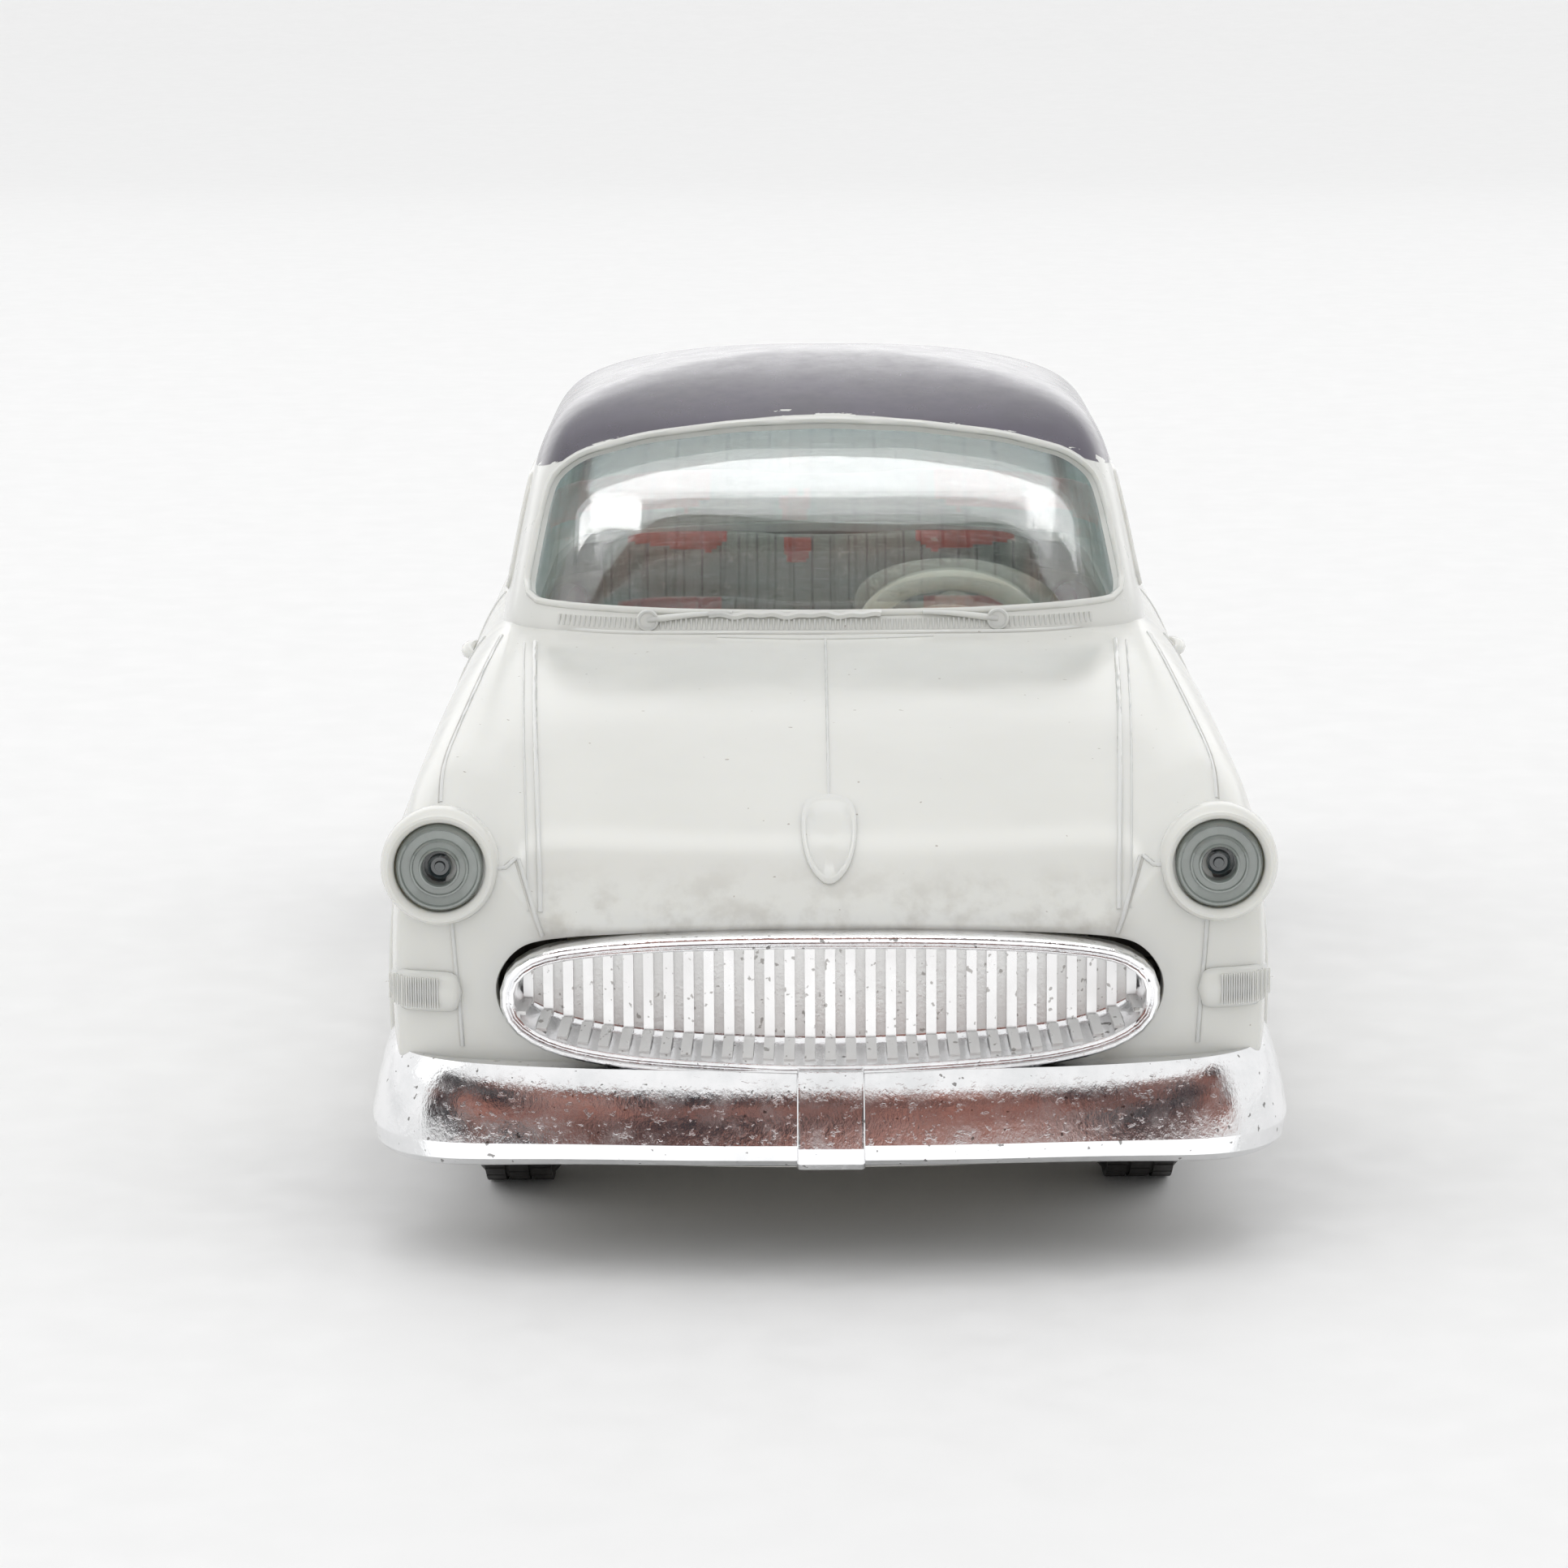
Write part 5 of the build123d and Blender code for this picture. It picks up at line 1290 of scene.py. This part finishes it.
def make_bars(settings, loop, plate):
    """Raised upright bars on the dish's back wall, and ribs that carry them on down its slope."""
    pitch, width = settings.bar_pitch / MM, settings.bar_width / MM
    back = [(x - nx * dish_reach(nz), z - nz * dish_reach(nz)) for x, z, nx, nz in loop]
    front = [(x - nx * 1.45, z - nz * 1.45) for x, z, nx, nz in loop]

    def height(outline, x, top):
        """Height of an outline's upper or lower side at x."""
        side = sorted((px, pz) for px, pz in outline if (pz > -0.3) == top)
        return float(np.interp(x, [p[0] for p in side], [p[1] for p in side]))

    bars, ribs = [], []
    for k in range(-15, 16):
        x = k * pitch
        low, high = height(back, x, False), height(back, x, True)
        if high - low < 1.2:
            continue
        middle = place(x, GRILLE_FACE + DISH_DEPTH - 0.1 + bow(x), GRILLE_MIDDLE + (low + high) / 2 - 0.3)
        bars.append((middle, (0, 0, x / NOSE_BOW), (width * MM, 0.0006, (high - low + 0.5) * MM)))
        spread = x * 1.03
        slope_low = height(front, spread, False)
        rise, run = low - slope_low, DISH_DEPTH - 1.1
        length = math.hypot(rise, run)
        behind = GRILLE_FACE + 0.75 + run / 2 + bow(x)
        middle = place((x + spread) / 2, behind, GRILLE_MIDDLE + (low + slope_low) / 2)
        slope = (-math.atan2(run, rise), 0, x / NOSE_BOW)
        ribs.append((middle, slope, (width * MM, 0.0004, length * 0.8 * MM)))
    upright = repeated("grille_bars", bars, FINISHES["chrome_soft"], sides=4, unevenness=0.02)
    join_body(upright)
    scoop = repeated("grille_scoop_ribs", ribs, plate, sides=4)
    join_body(scoop)


# X and distance back of the bumper's outer face, and of its middle block.
BUMPER_LINE = [(0, 0.0), (12, 0.3), (22, 1.3), (31, 3.1), (37, 5.3), (41, 8.3), (43.6, 12.2), (44.6, 17)]
BUMPER_LINE += [(44.8, 21.5), (44.8, 25.6)]
BLOCK_LINE = [(0, 0.0), (1.1, 0.0), (2.2, 0.01), (3.25, 0.02)]
BLOCK_PROUD = 0.65
BUMPER_LOW, BUMPER_HIGH = 11.1, 20.1
# Inwards from the outer face, share of the height.
BUMPER_PROFILE = [(1.9, 0.0), (1.5, 0.0), (1.0, 0.02), (0.25, 0.09), (0.0, 0.255), (0.36, 0.44), (0.85, 0.64)]
BUMPER_PROFILE += [(1.45, 0.81), (2.1, 0.94), (2.5, 1.0)]


def bumper_path(points, count):
    """Places along the bumper with the inward direction and the share of the way to the end."""
    line = smooth_line(points, count)
    full = [(-x, s) for x, s in reversed(line[1:])] + line
    out = []
    for i, (x, s) in enumerate(full):
        x0, s0 = full[max(i - 1, 0)]
        x1, s1 = full[min(i + 1, len(full) - 1)]
        run = Vector((x1 - x0, s1 - s0)).normalized()
        out.append((x, s, -run.y, run.x, abs(i - (count - 1)) / (count - 1)))
    return out


def bumper_rings(path, flip, proud=0.0):
    """Rings of the bumper's profile along its path. flip puts it at the tail."""
    rings = []
    for x, s, ix, iy, share in path:
        droop = 1.1 * math.exp(-(((share - 0.72) / 0.22) ** 2))
        low = BUMPER_LOW - droop - proud * 0.4
        high = BUMPER_HIGH + 1.3 * max(0.0, (share - 0.72) / 0.28) ** 1.5 + proud * 0.25
        shelf = 6.2 - 3.6 * min(1.0, share / 0.78) ** 2
        profile = BUMPER_PROFILE + [(max(shelf, 3.3), 1.0), (max(shelf, 3.3), 0.93), (2.6, 0.88)]
        ring = []
        for inwards, h in profile:
            px, ps = x + ix * (inwards - proud), s + iy * (inwards - proud)
            ring.append(place(px, LENGTH - ps if flip else ps, low + (high - low) * h))
        rings.append(ring)
    return rings


def make_bumpers():
    """Both plated bumpers, the front one with its middle block."""
    bright = FINISHES["chrome"]
    path = bumper_path(BUMPER_LINE, 60)
    bar = swept("front_bumper", bumper_rings(path, False), bright, 14)
    join_body(bar, replaced=("front_bumper_grille",))
    block_path = [(*place_and_way, 0.0) for *place_and_way, _ in bumper_path(BLOCK_LINE, 6)]
    block = swept("bumper_block", bumper_rings(block_path, False, BLOCK_PROUD), bright, 30)
    bevel = block.modifiers.new("edge", "BEVEL")
    bevel.width, bevel.segments, bevel.angle_limit = 0.00035, 3, math.radians(50)
    baked(block, bright, 14)
    join_body(block)
    tail = swept("rear_bumper_bar", bumper_rings(path, True), bright, 14)
    join_body(tail, replaced=("rear_bumper",))


# ---------------------------------------------------------------- wheels
# Profiles of a wheel as (x, radius): the tyre's wall from its outer face, the rim's dish and the hub cap.
TYRE_WALL = [(0.3, 9.5), (0.0, 10.4), (0.0, 11.2), (0.25, 12.2), (0.15, 12.5), (0.5, 13.6)]
TYRE_WALL += [(1.3, TYRE_R - 0.55), (2.2, TYRE_R - 0.35)]
RIM_DISH = [(33.4, 8.2), (32.5, 7.2), (32.2, 6.6), (32.3, 5.2), (32.2, 2.6), (31.2, 2.6), (31.2, 7.4)]
HUB_CAP = [(32.0, 5.75), (32.6, 5.75), (32.9, 5.5), (33.1, 5.0), (33.6, 4.4), (34.2, 3.2), (34.3, 2.2)]
HUB_CAP += [(34.5, 2.0), (34.8, 1.4), (34.95, 0.0), (34.4, 0.0), (32.0, 5.2)]
TREAD_BLOCK = (0.00195, 0.0017, 0.0007)
TREAD_PITCH = 2.35  # between the rows
TREAD_SUNK = 0.4  # from the tyre's radius to a block's middle


def make_wheels(settings):
    """Treaded tyres, dished rims and ringed hub caps."""
    low, high = TYRE[0].x / MM, TYRE[1].x / MM
    middle = (low + high) / 2
    tyre = [(low + x, radius) for x, radius in TYRE_WALL]
    tyre += [(high - x, radius) for x, radius in reversed(TYRE_WALL)]
    rim = [(low + 0.4, 9.5), (high - 0.4, 9.5), (high - 0.2, 9.2), (high - 0.5, 8.7)]
    rim += RIM_DISH + [(low + 0.4, 8.7)]
    # Kind, profile, finish, slot, steps round and the sharpest angle that looks smooth.
    turnings = (
        ("tyre", tyre, "rubber", "rubber", 96, 40),
        ("rim", rim, "rim", "rim", 72, 35),
        ("hubcap", HUB_CAP, "chrome", "plating", 64, 35),
    )
    reach = TYRE_R - TREAD_SUNK
    for end, s in AXLES.items():
        body = f"{end}_wheelset"
        centre = place(0, s, AXLE_Z)
        for side, hand in ((-1, "right"), (1, "left")):
            for kind, profile, finish, slot, steps, angle in turnings:
                profile = [(side * x, radius) for x, radius in profile]
                obj = turned(f"{kind}_{end}_{hand}", profile, centre, "X", FINISHES[finish], steps, angle)
                join_body(obj, body, (f"{end}_{kind}_{hand}",))
            blocks = []
            for k in range(settings.tread_blocks):
                for row in range(3):
                    a = 2 * math.pi * (k + 0.5 * (row % 2)) / settings.tread_blocks
                    across = side * (middle + (row - 1) * TREAD_PITCH)
                    spot = centre + Vector((across, reach * math.cos(a), reach * math.sin(a))) * MM
                    blocks.append((spot, (a - math.pi / 2, 0, 0), TREAD_BLOCK))
            tread = repeated(f"tread_{end}_{hand}", blocks, FINISHES["rubber"], sides=4, angle=30)
            join_body(tread, body)


# ---------------------------------------------------------------- inside the cabin
# The seats' profiles from the front edge to the top of the back, as (s, z).
FRONT_SEAT = [(117.2, 26.0), (117.0, 33.0), (118.2, 35.2), (121, 36.0), (130, 35.6)]
FRONT_SEAT += [(133.2, 35.4), (135.0, 39.0), (137.2, 44.4), (138.6, 46.4), (139.8, 45.6)]
REAR_SEAT = [(156.2, 37.0), (156.0, 40.4), (157.2, 41.8), (160, 42.2), (167, 41.6)]
REAR_SEAT += [(169.4, 42.0), (171.0, 45.4), (172.6, 49.4), (174.0, 50.2), (175.0, 49.2)]


def seat(name, profile, half, crest, node):
    """A pleated bench: the profile carried across the car, with ribs, raised crests and a rolled edge."""
    line = smooth_line(profile, 60)
    columns = 177
    verts, faces = [], []
    for i in range(columns):
        x = -half + 2 * half * i / (columns - 1)
        pleat = 0.22 * abs(math.sin(math.pi * (x / PLEAT + 0.5)))
        edge = 1.4 * (abs(x) / half) ** 14
        for j, (s, z) in enumerate(line):
            t = j / (len(line) - 1)
            back = max(0.0, (t - 0.55) / 0.45)
            hump = crest * math.exp(-(((abs(x) - 15.5) / 9.0) ** 4)) * back
            verts.append(place(x, s - pleat * back + 0.3 * back, z + pleat * (1 - back) - edge + hump))
    rows = len(line)
    for i in range(columns - 1):
        for j in range(rows - 1):
            a = i * rows + j
            faces.append((a, a + rows, a + rows + 1, a + 1))
    obj = piece(name, verts, faces, FINISHES["seat"], 50)
    if sum(p.normal.z for p in obj.data.polygons) < 0:
        obj.data.flip_normals()
    solid = obj.modifiers.new("sheet", "SOLIDIFY")
    solid.thickness, solid.offset = 0.0004, -1.0
    baked(obj, FINISHES["seat"], 50)
    obj.data.materials.append(FINISHES["seat_red"])
    top = profile[-3][1]
    for p in obj.data.polygons:
        x, z = p.center.x / MM, p.center.z / MM
        u = (abs(x) - 12.0) / 12.5
        depth = 1.5 * (1 - u) ** 0.8 * min(1.0, u * 6) if 0 < u < 1 else -9.0
        in_crest = z > top + 0.2 - depth
        in_badge = top - 2.6 < z < top + 0.4 and abs(x + 3.0) < 1.6 - 0.4 * max(0.0, top - 1.2 - z)
        p.material_index = 1 if in_crest or in_badge else 0
    join_body(obj, replaced=(node,))


def make_interior():
    """Both benches."""
    seat("front_bench", FRONT_SEAT, 29.5, 0.8, "front_seat")
    seat("rear_bench", REAR_SEAT, 27.5, 0.5, "rear_seat")


STEERING_RIM = 0.00118  # radius of the wheel's own ring
STEERING_PLAY = 0.0009  # inside the box of the frame's wheel


def make_steering():
    """The thin ivory wheel with its hub and two spokes."""
    joint = [j for j in frame["joints"] if j["name"] == "steering_turn"][0]
    centre, axis = Vector(joint["pos_m"]), Vector(joint["axis"]).normalized()
    right = Vector((1, 0, 0))
    up = axis.cross(right).normalized()
    low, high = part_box("steering_wheel")
    radius = (high.x - low.x) / 2 - STEERING_RIM - STEERING_PLAY
    turns = np.linspace(0, 2 * math.pi, 73)[:-1]
    ring = [centre + (right * math.cos(a) + up * math.sin(a)) * radius for a in turns]
    ivory = FINISHES["ivory"]
    parts = [tube("ring", ring, STEERING_RIM, ivory, closed=True, sides=16)]
    for side in (-1, 1):
        spoke = [centre + right * side * t * radius - axis * 0.0003 for t in (0.1, 0.4, 0.7, 0.97)]
        parts.append(tube("spoke", spoke, [0.0009, 0.0007, 0.0006, 0.0007], ivory, sides=10))
    hub = [centre + axis * t for t in (-0.0011, 0.0006, 0.0012)]
    parts.append(tube("hub", hub, [0.0021, 0.0021, 0.0012], ivory, sides=24))
    wheel = joined("steering_wheel_ring", parts, ivory, 50)
    join_body(wheel, "steering_assembly", ("steering_wheel",))


# ---------------------------------------------------------------- stage
# Radius and height of the floor's rings.
FLOOR_PROFILE = [(0.0, 0.0), (0.25, 0.0), (0.6, 0.0), (1.2, 0.0), (2.2, 0.0)]
FLOOR_PROFILE += [(3.0, 0.02), (3.6, 0.10), (4.0, 0.3)]
FLOOR_STEPS, CARD_STEPS, CEILING_STEPS = 64, 49, 72
CEILING_HALF, CEILING_DEEP = 0.95, 0.19
CEILING_Y, CEILING_Z = -0.125, 1.12
ROOM_SHADE = (0.98, 1.01)  # of the room's light, from below to above


def make_stage(settings):
    """A pale seamless floor that rises all round, soft lights, dark cards and the camera."""
    make_floor(settings)
    make_cards(settings)
    make_lights(settings)
    make_room(settings)
    make_camera(settings)
    bpy.context.scene.view_settings.view_transform = "Standard"


def make_floor(settings):
    """A round floor whose edge rises."""
    look = dict(grain=300.0, depth=0.00005, spread=0.012, Specular_IOR_Level=0.15)
    s = worn("studio_floor", tuple(settings.floor_colour), 0.6, **look)
    verts = []
    for k in range(FLOOR_STEPS):
        a = 2 * math.pi * k / FLOOR_STEPS
        verts += [Vector((r * math.cos(a), r * math.sin(a), z)) for r, z in FLOOR_PROFILE]
    faces = ring_faces(FLOOR_STEPS, len(FLOOR_PROFILE), closed_rings=False, closed_path=True)
    floor = piece("studio_floor", verts, faces, s.material, 60)
    bm = bmesh.new()
    bm.from_mesh(floor.data)
    bmesh.ops.remove_doubles(bm, verts=bm.verts, dist=1e-6)
    bm.to_mesh(floor.data)
    bm.free()
    if floor.data.polygons[0].normal.z < 0:
        floor.data.flip_normals()


def make_cards(settings):
    """Dark cards in front and overhead, seen only as reflections."""
    card = worn("dark_card", (0.035, 0.030, 0.032), 0.8, grain=50.0)
    tint = card.ramp(card.noise(2.6, 4.0, (1, 1, 1.6)), 0.42, 0.60)
    base = card.mix(tint, (0.006, 0.007, 0.012), (0.38, 0.15, 0.11))
    card.colour(card.mix(card.ramp(card.noise(5.0, 5.0, (1, 1, 2)), 0.52, 0.68), base, (0.50, 0.46, 0.45)))
    out = settings.card_distance
    verts = []
    for k in range(CARD_STEPS):
        a = math.radians(-72 + 3 * k)
        for z in (settings.card_low, settings.card_high):
            verts.append(Vector((out * math.sin(a), -out * math.cos(a), z)))
    faces = ring_faces(CARD_STEPS, 2, closed_rings=False, caps=False)
    panel = piece("dark_card", verts, faces, card.material)
    rim = []
    for k in range(CEILING_STEPS):
        a = 2 * math.pi * k / CEILING_STEPS
        wide = CEILING_HALF * (1 + 0.05 * math.sin(7 * a))
        deep = CEILING_DEEP * (1 + 0.10 * math.sin(11 * a + 1))
        rim.append(Vector((wide * math.cos(a), CEILING_Y + deep * math.sin(a), CEILING_Z)))
    above = piece("dark_ceiling", rim, [tuple(range(CEILING_STEPS - 1, -1, -1))], card.material)
    for obj in (panel, above):
        obj.visible_camera = obj.visible_shadow = obj.visible_diffuse = False


def make_lights(settings):
    """The softboxes, and lights that show only as reflections."""
    # Name, place, target, size and radiance.
    lamps = [
        ("top_softbox", (0.0, 0.35, 1.15), (0.0, 0.05, 0.03), (1.5, 1.2), settings.top_light),
        ("side_softbox", (-1.2, -0.2, 0.8), (0.0, 0.0, 0.04), (0.7, 0.7), settings.side_light),
        ("screen_glint", (0.0, 0.25, 1.15), (0.0, 0.0, 0.06), (1.3, 0.22), settings.glint),
        ("screen_glow", (0.0, 0.11, 1.16), (0.0, 0.0, 0.06), (1.3, 0.06), settings.glint * 0.4),
        ("left_strip", (-0.52, 0.18, 1.05), (0.0, -0.02, 0.06), (0.09, 0.5), settings.glint * 1.6),
        ("right_strip", (0.60, 0.22, 1.0), (0.0, -0.02, 0.06), (0.12, 0.5), settings.glint * 0.8),
        ("roof_glow", (0.0, 1.7, 0.5), (0.0, 0.0, 0.07), (2.6, 0.8), settings.roof_glow),
        ("floor_glow", (0.0, -0.30, 0.0006), (0.0, -0.30, 1.0), (0.9, 0.37), settings.floor_glow),
    ]
    for name, spot, target, size, radiance in lamps:
        light = bpy.data.lights.new(name, "AREA")
        light.shape, light.size, light.size_y = "RECTANGLE", size[0], size[1]
        light.energy = radiance * math.pi * size[0] * size[1]
        obj = bpy.data.objects.new(name, light)
        obj.visible_camera = False
        obj.visible_diffuse = name.endswith("softbox")
        obj.location = spot
        obj.rotation_euler = (Vector(target) - Vector(spot)).to_track_quat("-Z", "Y").to_euler()
        bpy.context.scene.collection.objects.link(obj)


def make_room(settings):
    """An almost even pale room, so that its light is sampled through the windows."""
    world = bpy.data.worlds.new("studio")
    world.use_nodes = True
    nodes, link = world.node_tree.nodes, world.node_tree.links.new
    room = nodes["Background"]
    room.inputs["Strength"].default_value = settings.world_strength
    height = nodes.new("ShaderNodeSeparateXYZ")
    shades = nodes.new("ShaderNodeMapRange")
    shades.inputs["To Min"].default_value, shades.inputs["To Max"].default_value = ROOM_SHADE
    link(nodes.new("ShaderNodeTexCoord").outputs["Generated"], height.inputs[0])
    link(height.outputs["Z"], shades.inputs["Value"])
    link(shades.outputs["Result"], room.inputs["Color"])
    bpy.context.scene.world = world


def make_camera(settings):
    """A long lens from the front, a little above the bonnet."""
    elevation, heading, roll = (math.radians(angle) for angle in (9.51, -0.29, -0.25))
    target = place(0, 30, 45)
    level = math.cos(elevation)
    back = Vector((math.sin(heading) * level, -math.cos(heading) * level, math.sin(elevation)))
    data = bpy.data.cameras.new("camera")
    data.lens, data.sensor_width = settings.lens, 36.0
    data.shift_x, data.shift_y = -0.028, -0.013
    data.clip_start, data.clip_end = 0.01, 20.0
    camera = bpy.data.objects.new("camera", data)
    camera.location = target + back * settings.distance
    turn = back.to_track_quat("Z", "Y").to_matrix() @ Matrix.Rotation(roll, 3, "Z")
    camera.rotation_euler = turn.to_euler()
    bpy.context.scene.collection.objects.link(camera)
    bpy.context.scene.camera = camera


# ---------------------------------------------------------------- settings
def length_prop(name, description, default):
    """A length in metres."""
    return FloatProperty(name=name, description=description, default=default, unit="LENGTH", precision=5)


def amount_prop(name, description, default):
    """A plain number."""
    return FloatProperty(name=name, description=description, default=default)


def colour_prop(name, description, default):
    """A colour without its alpha."""
    return FloatVectorProperty(
        name=name, description=description, default=default, subtype="COLOR", size=3, min=0.0, max=1.0
    )


class ToyCarFinishes(bpy.types.PropertyGroup):
    """Colours of the car's mouldings and prints."""

    body_colour: colour_prop("Body", "Cream of the moulded body", (0.715, 0.715, 0.68))
    roof_colour: colour_prop("Roof", "Dark paint of the roof", (0.022, 0.014, 0.040))
    glass_colour: colour_prop("Windows", "Tint of the clear moulding", (0.86, 0.95, 0.93))
    lens_colour: colour_prop("Headlights", "Grey-green of the lenses", (0.40, 0.45, 0.42))
    seat_colour: colour_prop("Seats", "Pale bands printed on the seats", (0.26, 0.29, 0.24))
    seat_red: colour_prop("Seat crests", "Red printed on the seats", (0.55, 0.06, 0.035))


class ToyCarSizes(bpy.types.PropertyGroup):
    """Sizes of the moulded body and its trim."""

    wall: length_prop("Wall", "Thickness of the moulded walls", 0.0011)
    glass: length_prop("Window wall", "Thickness of the clear moulding", 0.0009)
    bead_radius: length_prop("Window bead", "Radius of the bead round each window", 0.00042)
    arch_radius: length_prop("Wheel arch", "Radius of the wheel arches", 0.0176)
    seam_radius: length_prop("Seams", "Radius of the moulded lines", 0.00022)
    bar_pitch: length_prop("Bar pitch", "Distance between the grille's bars", 0.00192)
    bar_width: length_prop("Bar width", "Width of a grille bar", 0.00098)
    louvres: IntProperty(name="Louvres", description="Ribs below the windscreen", default=105, min=8)
    tread_blocks: IntProperty(name="Tread blocks", description="Blocks round each tyre", default=44, min=8)


class ToyCarStage(bpy.types.PropertyGroup):
    """Camera, lights and floor."""

    floor_colour: colour_prop("Floor", "Pale floor", (0.87, 0.87, 0.87))
    lens: amount_prop("Lens", "Focal length in millimetres", 120.0)
    distance: length_prop("Distance", "From the camera to the bonnet", 0.518)
    card_low: length_prop("Card foot", "Lower edge of the dark card", 0.13)
    card_high: length_prop("Card top", "Upper edge of the dark card", 0.74)
    card_distance: length_prop("Card distance", "How far in front of the car it stands", 1.15)
    top_light: amount_prop("Top light", "Brightness of the softbox overhead", 0.2)
    side_light: amount_prop("Side light", "Brightness of the softbox at the side", 0.5)
    glint: amount_prop("Glint", "Brightness of the strips seen in the glass", 2.4)
    roof_glow: amount_prop("Roof glow", "Brightness seen low in the roof's gloss", 0.46)
    floor_glow: amount_prop("Floor glow", "Brightness of the floor seen in the plating", 0.38)
    world_strength: amount_prop("Room light", "Strength of the pale room", 1.0)


# ---------------------------------------------------------------- operators
class TOYCAR_OT_finishes(bpy.types.Operator):
    """Make every finish and dress the frame's own parts in them"""

    bl_idname = "toycar.finishes"
    bl_label = "Finishes"

    def execute(self, context):
        make_finishes(context.scene.toycar_finishes)
        return {"FINISHED"}


class TOYCAR_OT_body(bpy.types.Operator):
    """Build the lower body"""

    bl_idname = "toycar.body"
    bl_label = "Lower Body"

    def execute(self, context):
        make_body(context.scene.toycar_sizes)
        return {"FINISHED"}


class TOYCAR_OT_cabin(bpy.types.Operator):
    """Build the roof, pillars and clear windows"""

    bl_idname = "toycar.cabin"
    bl_label = "Cabin"

    def execute(self, context):
        make_cabin(context.scene.toycar_sizes)
        make_glazing(context.scene.toycar_sizes)
        return {"FINISHED"}


class TOYCAR_OT_trim(bpy.types.Operator):
    """Lay the moulded lines, louvres, wipers and shield on the body"""

    bl_idname = "toycar.trim"
    bl_label = "Moulded Trim"

    def execute(self, context):
        sizes = context.scene.toycar_sizes
        make_trim(sizes)
        make_cowl(sizes)
        return {"FINISHED"}


class TOYCAR_OT_lamps(bpy.types.Operator):
    """Build the headlights and the blocks below them"""

    bl_idname = "toycar.lamps"
    bl_label = "Lamps"

    def execute(self, context):
        make_headlights()
        make_indicators()
        return {"FINISHED"}


class TOYCAR_OT_plating(bpy.types.Operator):
    """Build the grille and both bumpers"""

    bl_idname = "toycar.plating"
    bl_label = "Grille and Bumpers"

    def execute(self, context):
        make_grille(context.scene.toycar_sizes)
        make_bumpers()
        return {"FINISHED"}


class TOYCAR_OT_wheels(bpy.types.Operator):
    """Build the tyres, rims and hub caps"""

    bl_idname = "toycar.wheels"
    bl_label = "Wheels"

    def execute(self, context):
        make_wheels(context.scene.toycar_sizes)
        return {"FINISHED"}


class TOYCAR_OT_interior(bpy.types.Operator):
    """Build the seats and the steering wheel"""

    bl_idname = "toycar.interior"
    bl_label = "Interior"

    def execute(self, context):
        make_interior()
        make_steering()
        return {"FINISHED"}


class TOYCAR_OT_stage(bpy.types.Operator):
    """Set the floor, the lights and the camera"""

    bl_idname = "toycar.stage"
    bl_label = "Stage"

    def execute(self, context):
        make_stage(context.scene.toycar_stage)
        return {"FINISHED"}


STEPS = ("finishes", "body", "cabin", "trim", "lamps", "plating", "wheels", "interior", "stage")


class TOYCAR_PT_panel(bpy.types.Panel):
    """Toy car building steps and settings"""

    bl_idname = "TOYCAR_PT_panel"
    bl_label = "Toy Car"
    bl_space_type = "VIEW_3D"
    bl_region_type = "UI"
    bl_category = "Toy Car"

    def draw(self, context):
        """A button for each step, then every setting."""
        column = self.layout.column()
        for step in STEPS:
            column.operator(f"toycar.{step}")
        for group in (context.scene.toycar_finishes, context.scene.toycar_sizes, context.scene.toycar_stage):
            box = self.layout.box()
            for key in group.__annotations__:
                box.prop(group, key)


CLASSES = (
    ToyCarFinishes,
    ToyCarSizes,
    ToyCarStage,
    TOYCAR_OT_finishes,
    TOYCAR_OT_body,
    TOYCAR_OT_cabin,
    TOYCAR_OT_trim,
    TOYCAR_OT_lamps,
    TOYCAR_OT_plating,
    TOYCAR_OT_wheels,
    TOYCAR_OT_interior,
    TOYCAR_OT_stage,
    TOYCAR_PT_panel,
)


def register():
    """Adds the classes and their settings to the session."""
    for cls in CLASSES:
        bpy.utils.register_class(cls)
    bpy.types.Scene.toycar_finishes = PointerProperty(type=ToyCarFinishes)
    bpy.types.Scene.toycar_sizes = PointerProperty(type=ToyCarSizes)
    bpy.types.Scene.toycar_stage = PointerProperty(type=ToyCarStage)


def unregister():
    """Takes them away again."""
    del bpy.types.Scene.toycar_finishes
    del bpy.types.Scene.toycar_sizes
    del bpy.types.Scene.toycar_stage
    for cls in reversed(CLASSES):
        bpy.utils.unregister_class(cls)


def main():
    """Builds the car step by step."""
    register()
    for step in STEPS:
        getattr(bpy.ops.toycar, step)()


if __name__ == "__main__":
    main()
